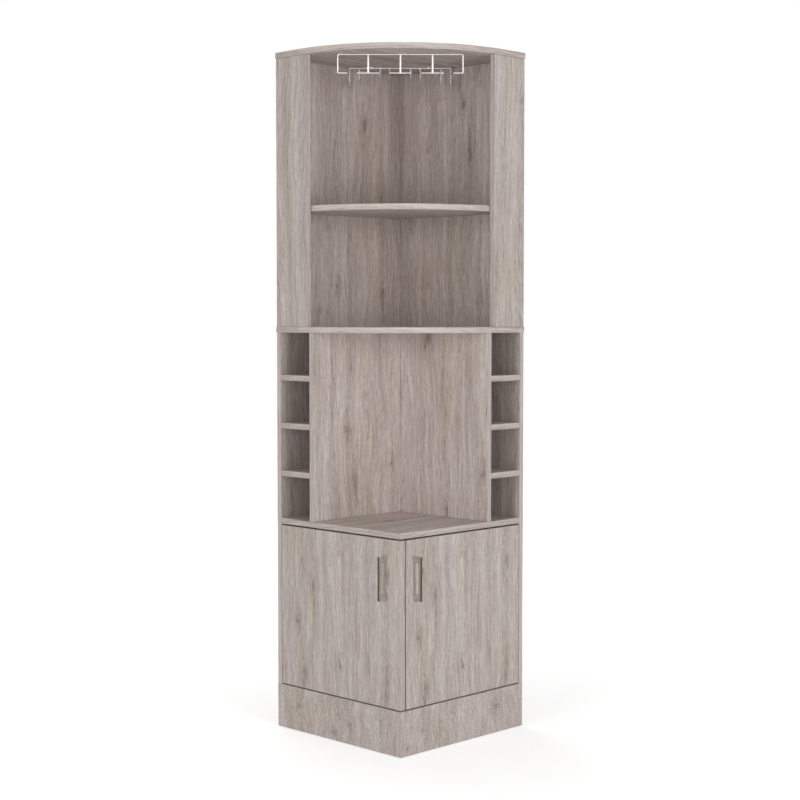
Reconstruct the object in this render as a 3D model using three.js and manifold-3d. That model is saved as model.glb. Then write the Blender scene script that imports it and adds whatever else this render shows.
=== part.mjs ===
// A bar cabinet for the corner of a room, built from boards of one thickness.
// Millimetres, +Z up. The plan is a square whose front corner points into the room.
// Inside the group `cabinet` that corner is at x = 0, y = 0: the left front is the plane
// x = 0, the right front is the plane y = 0, and the walls of the room lie along the far
// sides. A piece of the right half is the left one with x and y changed over.

import * as THREE from 'three';
import { mergeVertices } from 'three/addons/utils/BufferGeometryUtils.js';
import Module from 'manifold-3d';

const wasm = await Module();
wasm.setup();

// Boards
const side = 466; // each side of the square plan
const board = 15; // thickness of every board
const seam = 0.3; // gap between pieces that meet
const screwCover = 4; // of a board beyond the tip of a screw
const overhang = 2; // how far the middle and top panels stand out all round
const cornerRadius = 3; // other corners of the middle and top panels
const stileWidth = 119.5; // boards that close each end of the upper fronts
const curveLead = 31.5; // how far the round fronts run past the inner edge of a stile
const bayWidth = 113.5; // of the bottle bays, from partition to side panel

// Heights of the clear spaces, from the floor up
const plinthHeight = 115.5;
const cupboardHeight = 434.5;
const bottleBays = 4;
const bayHeight = 112.75;
const lowerRoomHeight = 303;
const upperRoomHeight = 391;

// Doors
const doorHingeGap = 2; // beside the side panel
const doorCornerGap = 2.5; // between the two doors at the front corner
const doorBottomGap = 3.5;
const doorTopGap = 4;

// Bow handles
const handleLength = 112;
const handleReach = 27; // how far the grip stands out from the door
const handleWidth = 6;
const gripDepth = 7;
const footHeight = 16;
const handleDrop = 98; // from the top of the door to the middle of the handle
const handleInset = { left: 52, right: 46 }; // from the front corner
const handleInnerRadius = 3;
const handleOuterRadius = 1.2;
const handleWall = 1; // of the foot beside its screw
const handleScrew = {
  radius: handleWidth / 2 - handleWall,
  headRadius: 4,
  headHeight: 2.2,
  grip: 10,
};

// Concealed hinges: a cup in the door, a pin across it, and an arm on the side panel
const hingeEndDistance = 90; // from each end of the door to a hinge
const cupRadius = 17.5;
const cupCover = 2.2; // of the door in front of the cup
const cupWall = 0.8;
const cupEdgeWall = 3; // of the door between the cup and its hinge edge
const flangeThickness = 1;
const flangeRim = 2; // how far the flange covers the door round the cup
const earEnd = 5; // beyond the middle of each screw
const earWidth = 12;
const earOffset = 9.5; // of the ears from the middle of the cup
const cupScrewSpacing = 48;
const cupScrew = { radius: 1.7, headRadius: 3.2, headHeight: 1.5, grip: board - screwCover };
const pinRadius = 1.25;
const pinEdgeDistance = 10.5; // from the hinge edge of the door to the pin
const knuckleRadius = 2.4;
const armWidth = 14;
const armThickness = 2.2;
const armRise = 5; // from the pin up to the foot of the neck
const neckGap = 2.9; // between the neck and the wall of the cup
const neckTop = 14; // from the back of the door to the bend of the neck
const armLength = 55;
const armHeight = 7.3;
const armWall = 1.4;
const plateHeight = 3.7;
const plateLength = 48;
const plateSetback = 5; // of the plate behind the front end of the arm
const wingEnd = 8; // beyond the middle of each screw
const wingWidth = 16;
const wingThickness = 2;
const wingSetback = 10; // of the wings behind the front end of the plate
const plateScrewSpacing = 32;
const plateScrew = { radius: 1.9, headRadius: 3.3, headHeight: 1.5, grip: board - screwCover };
const armScrew = { radius: 2, headRadius: 3.4, headHeight: 1.9, grip: 4.4 };
const armScrewSetback = 15; // from the back end of the arm

// Wire rack for stemmed glasses, under the top panel
const rackWallGap = 10; // from its rear corners to the side panels
const rackLength = 238;
const rackHeight = 47.8;
const rackPitch = 83.5; // from one slot to the next
const slotCount = 4;
const slotWidth = 26.5; // between the middles of the two wires of a slot
const rackEndMargin = 37.25; // from the middle of an end slot to the end of the rack
const wireRadius = 1.8;
const postRadius = 2.5;
const bendRadius = 7;
const tabLength = 18;
const tabDepth = 14;
const tabThickness = 1.2;
const frontTabInset = 32.5; // from the end of the rack to the middle of a front tab
const tabScrew = { radius: 1.7, headRadius: 3, headHeight: 1.3, grip: board - screwCover };

// Joinery
const boreClearance = 0.3; // round and beyond a fitting in its bore
const dowelRadius = 4;
const dowelCover = 5; // of a board beyond the end of a dowel
const dowelInset = 60; // from the end of a joint to its first dowel
const dowelsAcross = 2; // in a joint across the cabinet
const dowelsUpright = 3; // in an upright corner
const staggeredInset = 110; // where dowels enter a board from above and from below
const cornerInset = 80; // dowels between the two side panels
const stileInset = 30;
const backPostInset = 85; // dowels where the two partitions meet
const shelfPinInset = 26;
const camBoreRadius = 7.5;
const camCover = 2.5; // of the board beyond the cam
const camSetback = 24; // from the edge of the board to the middle of the cam
const camInset = 100;
const camsAcross = 2;
const camStagger = 40;
const boltBoreRadius = 3.6;
const boltCover = 4.5; // of the board beyond the bolt

// Numbers of flats on round pieces
const fineSides = 20;
const middleSides = 12;
const coarseSides = 8;
const dowelSides = 6;
const frontArcSteps = 24;
const smallArcSteps = 4;
const bendSteps = 4;
const overshoot = 1; // how far a cutting shape runs out of the face it cuts

// Heights above the floor
const baseBottom = plinthHeight - board;
const counterBottom = plinthHeight + cupboardHeight;
const counterTop = counterBottom + board;
const baySpacing = bayHeight + board;
const middleBottom = counterTop + bottleBays * baySpacing - board;
const middleTop = middleBottom + board;
const shelfBottom = middleTop + lowerRoomHeight;
const shelfTop = shelfBottom + board;
const topBottom = shelfTop + upperRoomHeight;
const doorBottom = plinthHeight + doorBottomGap;
const doorTop = counterBottom - doorTopGap;

// Places in plan
const frontRadius = side + overhang - stileWidth + curveLead;
const inner = side - board; // inner faces of the side panels
const sideMiddle = side - board / 2;
const nicheWidth = inner - bayWidth - board; // each side of the square niche
const partitionMiddle = nicheWidth + board / 2;
const partitionBack = nicheWidth + board;
const hingeEdge = inner - doorHingeGap; // edge of a door at its side panel
const centre = (side + overhang - handleReach) / 2; // middle of everything in plan

const hands = ['left', 'right'];
const bores = []; // every hole that a fitting needs, in the place where the fitting lies
const dowels = []; // each with the point from which it grows

// Shapes

// A geometry as loose triangles with flat normals.
function plain(geometry) {
  const loose = geometry.index ? geometry.toNonIndexed() : geometry.clone();
  loose.deleteAttribute('uv');
  loose.computeVertexNormals();
  return loose;
}

function asSolid(geometry) {
  const bare = geometry.clone();
  bare.deleteAttribute('normal');
  bare.deleteAttribute('uv');
  const merged = mergeVertices(bare);
  return new wasm.Manifold(new wasm.Mesh({
    numProp: 3,
    vertProperties: new Float32Array(merged.attributes.position.array),
    triVerts: new Uint32Array(merged.index.array),
  }));
}

function asGeometry(solid) {
  const mesh = solid.getMesh();
  const geometry = new THREE.BufferGeometry();
  geometry.setAttribute('position', new THREE.BufferAttribute(mesh.vertProperties, 3));
  geometry.setIndex(new THREE.BufferAttribute(mesh.triVerts, 1));
  return plain(geometry);
}

function fused(...geometries) {
  const solids = geometries.map(asSolid);
  return asGeometry(solids.reduce((whole, piece) => whole.add(piece)));
}

function cut(geometry, cutters) {
  const solids = cutters.map(asSolid);
  return asGeometry(solids.reduce((rest, cutter) => rest.subtract(cutter), asSolid(geometry)));
}

// Cuts every bore that reaches into a board, and adds the dowels glued into its edges.
function fitted(geometry) {
  geometry.computeBoundingBox();
  const box = geometry.boundingBox;
  const near = bores.filter((bore) => bore.boundingBox.intersectsBox(box));
  const own = dowels.filter((dowel) => box.containsPoint(dowel.root));
  return fused(cut(geometry, near), ...own.map((dowel) => dowel.peg));
}

function addBore(geometry) {
  geometry.computeBoundingBox();
  bores.push(geometry);
}

function block(low, high) {
  const size = high.map((value, i) => value - low[i]);
  const geometry = new THREE.BoxGeometry(...size);
  return geometry.translate(...low.map((value, i) => value + size[i] / 2));
}

// A prism with a regular section, from one point to another.
function rod(start, end, radius, sides = coarseSides) {
  const from = new THREE.Vector3(...start);
  const to = new THREE.Vector3(...end);
  const direction = to.clone().sub(from);
  const geometry = new THREE.CylinderGeometry(radius, radius, direction.length(), sides);
  const up = new THREE.Vector3(0, 1, 0);
  geometry.applyQuaternion(new THREE.Quaternion().setFromUnitVectors(up, direction.normalize()));
  const middle = from.add(to).multiplyScalar(0.5);
  return geometry.translate(middle.x, middle.y, middle.z);
}

// The radius of a bore whose flats clear a rod of the given radius.
function boreRadius(radius, sides = coarseSides) {
  return (radius + boreClearance) / Math.cos(Math.PI / sides);
}

function step(point, direction, distance) {
  return point.map((value, i) => value + direction[i] * distance);
}

// Changes x and y over, and turns each triangle round so that it still faces outwards.
function changedOver(geometry) {
  const mirrored = plain(geometry);
  const position = mirrored.attributes.position;
  const corner = new THREE.Vector3();
  const corners = [];
  for (let i = 0; i < position.count; i += 1) {
    corner.fromBufferAttribute(position, i);
    corners.push([corner.y, corner.x, corner.z]);
  }
  const order = [0, 2, 1];
  for (let i = 0; i < position.count; i += 1) {
    const first = i - (i % order.length);
    position.setXYZ(i, ...corners[first + order[i % order.length]]);
  }
  mirrored.computeVertexNormals();
  return mirrored;
}

function toHand(geometry, hand) {
  return hand === 'left' ? geometry : changedOver(geometry);
}

function pointToHand([x, y, z], hand) {
  return hand === 'left' ? [x, y, z] : [y, x, z];
}

// A closed outline from corners [x, y, radius, steps], each corner rounded by a true arc.
function outline(corners) {
  const points = [];
  corners.forEach(([x, y, radius = 0, steps = smallArcSteps], i) => {
    const corner = new THREE.Vector2(x, y);
    if (radius === 0) {
      points.push(corner);
      return;
    }
    const before = corners[(i + corners.length - 1) % corners.length];
    const after = corners[(i + 1) % corners.length];
    const back = new THREE.Vector2(before[0], before[1]).sub(corner).normalize();
    const on = new THREE.Vector2(after[0], after[1]).sub(corner).normalize();
    const half = back.angleTo(on) / 2;
    const turn = (Math.PI - 2 * half) * Math.sign(on.cross(back));
    const middle = back.clone().add(on).normalize().multiplyScalar(radius / Math.sin(half));
    middle.add(corner);
    const start = back.multiplyScalar(radius / Math.tan(half)).add(corner).sub(middle);
    for (let k = 0; k <= steps; k += 1) {
      points.push(start.clone().rotateAround(new THREE.Vector2(), turn * k / steps).add(middle));
    }
  });
  return new THREE.Shape(points);
}

// An outline in x and y, carried up from one height to another.
function slab(shape, from, to) {
  const geometry = new THREE.ExtrudeGeometry(shape, { depth: to - from, bevelEnabled: false });
  return geometry.translate(0, 0, from);
}

// An outline in x and z, carried along y.
function slabAlongY(shape, from, to) {
  const geometry = new THREE.ExtrudeGeometry(shape, { depth: to - from, bevelEnabled: false });
  return geometry.rotateX(Math.PI / 2).translate(0, to, 0);
}

// A strip of even thickness along a line in x and y.
function ribbon(line, thickness) {
  const points = line.map(([x, y]) => new THREE.Vector2(x, y));
  const last = points.length - 1;
  const offsets = points.map((point, i) => {
    const arriving = point.clone().sub(points[Math.max(i - 1, 0)]).normalize();
    const leaving = points[Math.min(i + 1, last)].clone().sub(point).normalize();
    const along = arriving.clone().add(leaving).normalize();
    const reach = along.dot(i === 0 ? leaving : arriving);
    return new THREE.Vector2(-along.y, along.x).multiplyScalar(thickness / 2 / reach);
  });
  const leftSide = points.map((point, i) => point.clone().add(offsets[i]));
  const rightSide = points.map((point, i) => point.clone().sub(offsets[i]));
  return new THREE.Shape(rightSide.concat(leftSide.reverse()));
}

// A wire bent at each corner of its route. The curve holds only the points that it needs:
// the ends, and a few on each bend.
class BentWire extends THREE.Curve {
  constructor(route) {
    super();
    const corners = route.map((place) => new THREE.Vector3(...place));
    const last = corners.length - 1;
    this.points = [];
    corners.forEach((corner, i) => {
      if (i === 0 || i === last) {
        this.points.push(corner);
        return;
      }
      const back = corners[i - 1].clone().sub(corner).normalize();
      const on = corners[i + 1].clone().sub(corner).normalize();
      const middle = corner.clone().addScaledVector(back, bendRadius).addScaledVector(on, bendRadius);
      for (let k = 0; k <= bendSteps; k += 1) {
        const angle = (k / bendSteps) * Math.PI / 2;
        const point = middle.clone();
        point.addScaledVector(on, -bendRadius * Math.cos(angle));
        point.addScaledVector(back, -bendRadius * Math.sin(angle));
        this.points.push(point);
      }
    });
  }

  getPointAt(share) {
    return this.points[Math.round(share * (this.points.length - 1))].clone();
  }

  getTangentAt(share) {
    const last = this.points.length - 1;
    const i = Math.round(share * last);
    const here = this.points[i];
    const arriving = here.clone().sub(this.points[Math.max(i - 1, 0)]).normalize();
    const leaving = this.points[Math.min(i + 1, last)].clone().sub(here).normalize();
    return arriving.add(leaving).normalize();
  }
}

function wire(route, radius = wireRadius) {
  const path = new BentWire(route);
  const section = [];
  for (let k = 0; k < coarseSides; k += 1) {
    const angle = 2 * Math.PI * (k + 0.5) / coarseSides;
    section.push(new THREE.Vector2(radius * Math.cos(angle), radius * Math.sin(angle)));
  }
  const steps = path.points.length - 1;
  return new THREE.ExtrudeGeometry(new THREE.Shape(section), { extrudePath: path, steps });
}

// A screw whose head lies on a face: `seat` is the point of the face, `inward` the way in,
// `through` the thickness that it passes before it bites.
function screw(kind, seat, inward, through) {
  const underHead = step(seat, inward, -seam);
  const headTop = step(underHead, inward, -kind.headHeight);
  const tip = step(seat, inward, through + kind.grip);
  const head = rod(headTop, underHead, kind.headRadius);
  const shank = rod(step(underHead, inward, -kind.headHeight / 2), tip, kind.radius);
  return fused(head, shank);
}

function screwBore(kind, seat, inward, through) {
  const start = step(seat, inward, -kind.headHeight / 2);
  const end = step(seat, inward, through + kind.grip + boreClearance);
  return rod(start, end, boreRadius(kind.radius));
}

// Finishes

function oakLaminate() {
  return new THREE.MeshStandardMaterial({ color: 0xb4a9a2, roughness: 0.55, metalness: 0 });
}

function satinNickel() {
  return new THREE.MeshStandardMaterial({ color: 0x9c9790, roughness: 0.35, metalness: 1 });
}

function plating() {
  return new THREE.MeshStandardMaterial({ color: 0xc9cbcd, roughness: 0.25, metalness: 1 });
}

function chrome() {
  return new THREE.MeshStandardMaterial({ color: 0xe4e6e8, roughness: 0.08, metalness: 1 });
}

function zincSteel() {
  return new THREE.MeshStandardMaterial({ color: 0xa9abaa, roughness: 0.4, metalness: 1 });
}

const model = new THREE.Group();
const cabinet = new THREE.Group();
cabinet.position.set(-centre, -centre, 0);
model.add(cabinet);

function addPiece(name, geometry, finish, parent = cabinet) {
  const mesh = new THREE.Mesh(plain(geometry), finish());
  mesh.name = name;
  parent.add(mesh);
}

// Places spread evenly between two ends, the first and last at `inset` from them.
function spread(from, to, inset, count) {
  const room = to - from - 2 * inset;
  return Array.from({ length: count }, (_, i) => from + inset + room * i / (count - 1));
}

// Dowels from the edge of one board into the face of another. `at` is where the boards
// meet, `into` points into the board that carries the dowels, and `places` are the values
// along `axis`.
function dowelRow(hand, at, into, axis, places) {
  const direction = pointToHand(into, hand);
  places.forEach((place) => {
    const middle = [...at];
    middle[axis] = place;
    const meet = pointToHand(middle, hand);
    const tip = step(meet, direction, dowelCover - board);
    const root = step(meet, direction, dowelRadius);
    const peg = rod(tip, root, dowelRadius, dowelSides);
    dowels.push({ peg, root: new THREE.Vector3(...root) });
    const end = step(tip, direction, -boreClearance);
    const mouth = step(meet, direction, seam / 2);
    addBore(rod(end, mouth, boreRadius(dowelRadius, dowelSides), dowelSides));
  });
}

// The bores of a cam lock in one board, and of the bolt that it draws up, which stands in
// the other. `into` points into the board with the cam, `out` out of the face that the cam
// is set in.
function camJoint(hand, at, into, out) {
  const meet = pointToHand(at, hand);
  const direction = pointToHand(into, hand);
  const outward = pointToHand(out, hand);
  const middle = step(meet, direction, camSetback);
  const mouth = step(middle, outward, board / 2 + overshoot);
  const bottom = step(middle, outward, camCover - board / 2);
  addBore(rod(mouth, bottom, camBoreRadius, middleSides));
  addBore(rod(step(meet, direction, boltCover - board), middle, boltBoreRadius));
}

const up = [0, 0, 1];
const down = [0, 0, -1];
const inX = [1, 0, 0];
const outX = [-1, 0, 0];
const backY = [0, -1, 0];
const outY = [0, 1, 0];
const alongX = 0;
const alongY = 1;
const alongZ = 2;

const bottleShelfBottoms = [];
for (let i = 1; i < bottleBays; i += 1) {
  bottleShelfBottoms.push(counterTop + i * baySpacing - board);
}

// How far back the boards of each hand run: on the left they pass the right ones.
const shelfEnd = { left: inner - seam, right: partitionBack };
const partitionEnd = { left: partitionBack, right: nicheWidth - seam };
const sideEnd = { left: side, right: inner - seam };

for (const hand of hands) {
  const baseMiddle = baseBottom + board / 2;
  const counterMiddle = counterBottom + board / 2;
  const shelfMiddle = shelfBottom + board / 2;
  const stileStart = side - stileWidth;
  const sideSpan = spread(0, side, dowelInset, dowelsAcross);
  const staggered = spread(0, side, staggeredInset, dowelsAcross);
  const partitionSpan = spread(0, nicheWidth, dowelInset, dowelsAcross);
  const stileSpan = spread(stileStart, side, stileInset, dowelsAcross);
  const upperSpan = spread(middleTop, topBottom, staggeredInset, dowelsUpright);

  dowelRow(hand, [board, 0, baseMiddle], inX, alongY, sideSpan);
  dowelRow(hand, [0, partitionMiddle, counterTop], up, alongX, partitionSpan);
  dowelRow(hand, [0, partitionMiddle, middleBottom], down, alongX, partitionSpan);
  for (const bottom of bottleShelfBottoms) {
    const middle = bottom + board / 2;
    const span = spread(0, shelfEnd[hand], dowelInset, dowelsAcross);
    dowelRow(hand, [0, inner, middle], backY, alongX, span);
    dowelRow(hand, [0, partitionBack, middle], outY, alongX, partitionSpan);
  }
  dowelRow(hand, [0, sideMiddle, middleBottom], down, alongX, sideSpan);
  dowelRow(hand, [0, sideMiddle, middleTop], up, alongX, staggered);
  dowelRow(hand, [0, sideMiddle, topBottom], down, alongX, staggered);
  dowelRow(hand, [board / 2, 0, middleTop], up, alongY, stileSpan);
  dowelRow(hand, [board / 2, 0, topBottom], down, alongY, stileSpan);
  dowelRow(hand, [board, sideMiddle, 0], inX, alongZ, upperSpan);
  dowelRow(hand, [0, inner, shelfMiddle], backY, alongX, staggered);
  dowelRow(hand, [board, 0, shelfMiddle], inX, alongY, [inner - shelfPinInset]);

  for (const place of spread(0, side, camInset, camsAcross)) {
    camJoint(hand, [place, inner, baseMiddle], backY, down);
    camJoint(hand, [place, inner, counterMiddle], backY, down);
  }
  camJoint(hand, [side / 2, sideMiddle, middleBottom], down, outY);
  camJoint(hand, [side / 2 + camStagger, sideMiddle, middleTop], up, outY);
  camJoint(hand, [side / 2, sideMiddle, topBottom], down, outY);
}
const lowerCorner = spread(plinthHeight, middleBottom, cornerInset, dowelsUpright);
const upperCorner = spread(middleTop, topBottom, cornerInset, dowelsUpright);
const backPost = spread(counterTop, middleBottom, backPostInset, dowelsAcross);
dowelRow('left', [sideMiddle, inner, 0], backY, alongZ, lowerCorner);
dowelRow('left', [sideMiddle, inner, 0], backY, alongZ, upperCorner);
dowelRow('left', [partitionMiddle, nicheWidth, 0], backY, alongZ, backPost);

// Handles, each one bar with a foot at either end, and two screws from inside the door.
for (const hand of hands) {
  const middle = doorTop - handleDrop;
  const low = middle - handleLength / 2;
  const high = middle + handleLength / 2;
  const gripBack = gripDepth - handleReach;
  const place = handleInset[hand];
  const bow = outline([
    [-seam, low],
    [-seam, low + footHeight],
    [gripBack, low + footHeight, handleInnerRadius],
    [gripBack, high - footHeight, handleInnerRadius],
    [-seam, high - footHeight],
    [-seam, high],
    [-handleReach, high, handleOuterRadius],
    [-handleReach, low, handleOuterRadius],
  ]);
  const bar = slabAlongY(bow, place - handleWidth / 2, place + handleWidth / 2);
  const heights = { lower: low + footHeight / 2, upper: high - footHeight / 2 };
  const holes = [];
  for (const [level, height] of Object.entries(heights)) {
    const seat = [board, place, height];
    const hole = screwBore(handleScrew, seat, outX, board);
    holes.push(hole);
    addBore(toHand(hole, hand));
    const name = `handle_screw_${hand}_${level}`;
    addPiece(name, toHand(screw(handleScrew, seat, outX, board), hand), zincSteel);
  }
  addPiece(`handle_${hand}`, toHand(cut(bar, holes), hand), satinNickel);
}

// Hinges. The pin is the axis that the door turns on.
const cupMiddle = hingeEdge - cupEdgeWall - cupRadius;
const pinY = hingeEdge - pinEdgeDistance;
const cupFloor = cupCover + cupWall;
const pinX = cupFloor + boreClearance + knuckleRadius;
const flangeBottom = board + seam;
const flangeTop = flangeBottom + flangeThickness;
const neckY = cupMiddle - cupRadius + cupWall + neckGap + armThickness / 2;
const neckX = board + neckTop;
const plateTop = inner - seam - plateHeight;
const armBase = plateTop - seam;
const armTop = armBase - armHeight;
const armEnd = neckX + armLength;
const plateFront = neckX + plateSetback;
const wingFront = plateFront + wingSetback;
const wingTop = inner - seam - wingThickness;
const holeFromPlate = wingFront + wingWidth / 2;

function hingeCup(height) {
  const profile = [
    [0, cupCover],
    [cupRadius, cupCover],
    [cupRadius, flangeTop],
    [cupRadius - cupWall, flangeTop],
    [cupRadius - cupWall, cupFloor],
    [0, cupFloor],
  ].map(([x, y]) => new THREE.Vector2(x, y));
  const bowl = new THREE.LatheGeometry(profile, fineSides).rotateZ(-Math.PI / 2);
  bowl.scale(1, -1, -1).translate(0, cupMiddle, height);
  const earY = cupMiddle - earOffset;
  const earReach = cupScrewSpacing / 2 + earEnd;
  const rim = rod([flangeBottom, cupMiddle, height], [flangeTop, cupMiddle, height],
    cupRadius + flangeRim, fineSides);
  const ears = block([flangeBottom, earY - earWidth / 2, height - earReach],
    [flangeTop, earY + earWidth / 2, height + earReach]);
  const mouth = rod([flangeBottom - overshoot, cupMiddle, height],
    [flangeTop + overshoot, cupMiddle, height], cupRadius - cupWall / 2, fineSides);
  const flange = cut(fused(rim, ears), [mouth]);
  const screws = cupScrewPlaces(height).map((seat) => screw(cupScrew, seat, outX, flangeTop - board));
  const across = cupRadius + overshoot;
  const pinHole = rod([pinX, pinY, height - across], [pinX, pinY, height + across],
    boreRadius(pinRadius, middleSides), middleSides);
  return cut(fused(bowl, flange, ...screws), [pinHole]);
}

function cupScrewPlaces(height) {
  const half = cupScrewSpacing / 2;
  return [height - half, height + half].map((z) => [flangeTop, cupMiddle - earOffset, z]);
}

function hingePin(height) {
  const half = Math.sqrt((cupRadius - cupWall / 2) ** 2 - (pinY - cupMiddle) ** 2);
  return rod([pinX, pinY, height - half], [pinX, pinY, height + half], pinRadius, middleSides);
}

function armScrewSeat(height) {
  return [armEnd - armScrewSetback, armTop, height];
}

// The arm: a knuckle on the pin, a neck that bends round the edge of the door, and a
// channel that sits over the ridge of the mounting plate.
function hingeArm(height) {
  const low = height - armWidth / 2;
  const high = height + armWidth / 2;
  const line = [
    [pinX, pinY],
    [pinX + armRise / 2, neckY],
    [neckX, neckY],
    [neckX, armTop + armThickness / 2],
    [neckX + armThickness, armTop + armThickness / 2],
  ];
  const neck = slab(ribbon(line, armThickness), low, high);
  const knuckle = rod([pinX, pinY, low], [pinX, pinY, high], knuckleRadius, middleSides);
  const body = block([neckX, armTop, low], [armEnd, armBase, high]);
  const channel = block([neckX + armThickness, armTop + armThickness, low + armWall],
    [armEnd + overshoot, armBase + overshoot, high - armWall]);
  const hole = rod([pinX, pinY, low - overshoot], [pinX, pinY, high + overshoot],
    boreRadius(pinRadius, middleSides), middleSides);
  const screwHole = screwBore(armScrew, armScrewSeat(height), outY, armThickness);
  return cut(fused(neck, knuckle, cut(body, [channel])), [hole, screwHole]);
}

// The mounting plate: a base on the side panel, a ridge that the arm sits over, and wings
// with their two screws.
function hingePlate(height) {
  const ridgeTop = armTop + armThickness + boreClearance;
  const ridgeHalf = armWidth / 2 - armWall - boreClearance;
  const back = plateFront + plateLength;
  const wingReach = plateScrewSpacing / 2 + wingEnd;
  const base = block([plateFront, plateTop, height - armWidth / 2],
    [back, inner - seam, height + armWidth / 2]);
  const ridge = block([plateFront, ridgeTop, height - ridgeHalf],
    [back, inner - seam, height + ridgeHalf]);
  const wings = block([wingFront, wingTop, height - wingReach],
    [wingFront + wingWidth, inner - seam, height + wingReach]);
  const screws = plateScrewPlaces(height).map((seat) => screw(plateScrew, seat, outY, inner - wingTop));
  const hole = screwBore(armScrew, armScrewSeat(height), outY, armThickness);
  return fused(cut(fused(base, ridge, wings), [hole]), ...screws);
}

function plateScrewPlaces(height) {
  const half = plateScrewSpacing / 2;
  return [height - half, height + half].map((z) => [holeFromPlate, wingTop, z]);
}

for (const hand of hands) {
  const hinges = { lower: doorBottom + hingeEndDistance, upper: doorTop - hingeEndDistance };
  for (const [level, height] of Object.entries(hinges)) {
    const place = `${hand}_${level}`;
    const armHold = screw(armScrew, armScrewSeat(height), outY, armThickness);
    addPiece(`hinge_cup_${place}`, toHand(hingeCup(height), hand), plating);
    addPiece(`hinge_pin_${place}`, toHand(hingePin(height), hand), zincSteel);
    addPiece(`hinge_arm_${place}`, toHand(hingeArm(height), hand), plating);
    addPiece(`hinge_plate_${place}`, toHand(hingePlate(height), hand), plating);
    addPiece(`hinge_arm_screw_${place}`, toHand(armHold, hand), zincSteel);
    addBore(toHand(rod([board + overshoot, cupMiddle, height],
      [cupCover - boreClearance, cupMiddle, height],
      boreRadius(cupRadius, fineSides), fineSides), hand));
    for (const seat of cupScrewPlaces(height)) {
      addBore(toHand(screwBore(cupScrew, seat, outX, flangeTop - board), hand));
    }
    for (const seat of plateScrewPlaces(height)) {
      addBore(toHand(screwBore(plateScrew, seat, outY, inner - wingTop), hand));
    }
  }
}

// The glass rack lies square to the diagonal of the plan: its own x runs sideways and its
// y runs back from the front corner.
const rack = new THREE.Group();
rack.rotation.z = -Math.PI / 4;
rack.position.set(side / 2, side / 2, 0);
cabinet.add(rack);

const rackTop = topBottom - seam - wireRadius;
const rackBottom = rackTop - rackHeight;
const rackHalf = rackPitch * (slotCount - 1) / 2 + rackEndMargin;
const outerRail = rackPitch * (slotCount - 1) / 2 + slotWidth / 2;
const cornerDepth = (inner - rackWallGap - side / 2) * Math.SQRT2;
const rackBack = cornerDepth - outerRail - 2 * wireRadius;
const rackFront = rackBack - rackLength;
const uprightTop = rackTop - wireRadius - seam;

// A tab welded to a wire, and its screw up into the top panel. `toward` is the way that the
// tab runs from its wire.
const tabTop = topBottom - seam;

function tab(x, wireY, toward, name) {
  const end = wireY + toward * (wireRadius + tabDepth);
  const seat = [x, wireY + toward * (wireRadius + tabDepth / 2), tabTop - tabThickness];
  const through = topBottom - seat[2];
  const plate = block([x - tabLength / 2, Math.min(wireY, end), seat[2]],
    [x + tabLength / 2, Math.max(wireY, end), tabTop]);
  const hole = screwBore(tabScrew, seat, up, through);
  addPiece(name, screw(tabScrew, seat, up, through), zincSteel, rack);
  addBore(plain(hole).rotateZ(rack.rotation.z).translate(side / 2, side / 2, 0));
  return cut(plate, [hole]);
}

const frameWire = wire([
  [-outerRail, rackBack, uprightTop],
  [-outerRail, rackBack, rackBottom],
  [-outerRail, rackFront, rackBottom],
  [-rackHalf, rackFront, rackBottom],
  [-rackHalf, rackFront, rackTop],
  [rackHalf, rackFront, rackTop],
  [rackHalf, rackFront, rackBottom],
  [outerRail, rackFront, rackBottom],
  [outerRail, rackBack, rackBottom],
  [outerRail, rackBack, uprightTop],
]);
const rearWire = rod([-outerRail - wireRadius, rackBack, rackTop],
  [outerRail + wireRadius, rackBack, rackTop], wireRadius);
const frontTabPlace = rackHalf - frontTabInset;
const frontTabs = [
  tab(-frontTabPlace, rackFront, 1, 'glass_rack_screw_front_left'),
  tab(frontTabPlace, rackFront, 1, 'glass_rack_screw_front_right'),
];
const rearTabs = [
  tab(-rackPitch, rackBack, -1, 'glass_rack_screw_rear_left'),
  tab(rackPitch, rackBack, -1, 'glass_rack_screw_rear_right'),
];
addPiece('glass_rack_frame_wire', fused(frameWire, ...frontTabs), chrome, rack);
addPiece('glass_rack_rear_wire', fused(rearWire, ...rearTabs), chrome, rack);

// Between the slots, a loop of two rails that hangs from the front wire by a post.
for (let i = 1; i < slotCount; i += 1) {
  const middle = rackPitch * (i - slotCount / 2);
  const half = (rackPitch - slotWidth) / 2;
  const loop = wire([
    [middle - half, rackBack, uprightTop],
    [middle - half, rackBack, rackBottom],
    [middle - half, rackFront, rackBottom],
    [middle + half, rackFront, rackBottom],
    [middle + half, rackBack, rackBottom],
    [middle + half, rackBack, uprightTop],
  ]);
  const post = rod([middle, rackFront, rackBottom], [middle, rackFront, uprightTop], postRadius);
  addPiece(`glass_rack_loop_${i}`, fused(loop, post), chrome, rack);
}

// Boards

function roundFronted(low, high, others, from, to) {
  return slab(outline([
    [low, low, frontRadius, frontArcSteps],
    [high, low, others],
    [high, high, others],
    [low, high, others],
  ]), from, to);
}

// A side panel of the lower part, notched where the plinth passes its foot.
function lowerSide(end) {
  const shape = outline([
    [board + seam, 0],
    [end, 0],
    [end, middleBottom - seam],
    [0, middleBottom - seam],
    [0, plinthHeight + seam],
    [board + seam, plinthHeight + seam],
  ]);
  return slabAlongY(shape, inner, side);
}

function addBoard(name, geometry, hand = 'left') {
  addPiece(name, fitted(toHand(geometry, hand)), oakLaminate);
}

addBoard('plinth_board_right', block([0, 0, 0], [side, board, plinthHeight]));
addBoard('plinth_board_left', block([0, board + seam, 0], [board, side, plinthHeight]));
addBoard('base_panel', block([board + seam, board + seam, baseBottom],
  [inner - seam, inner - seam, plinthHeight]));
addBoard('counter_panel', block([0, 0, counterBottom], [inner - seam, inner - seam, counterTop]));

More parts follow.
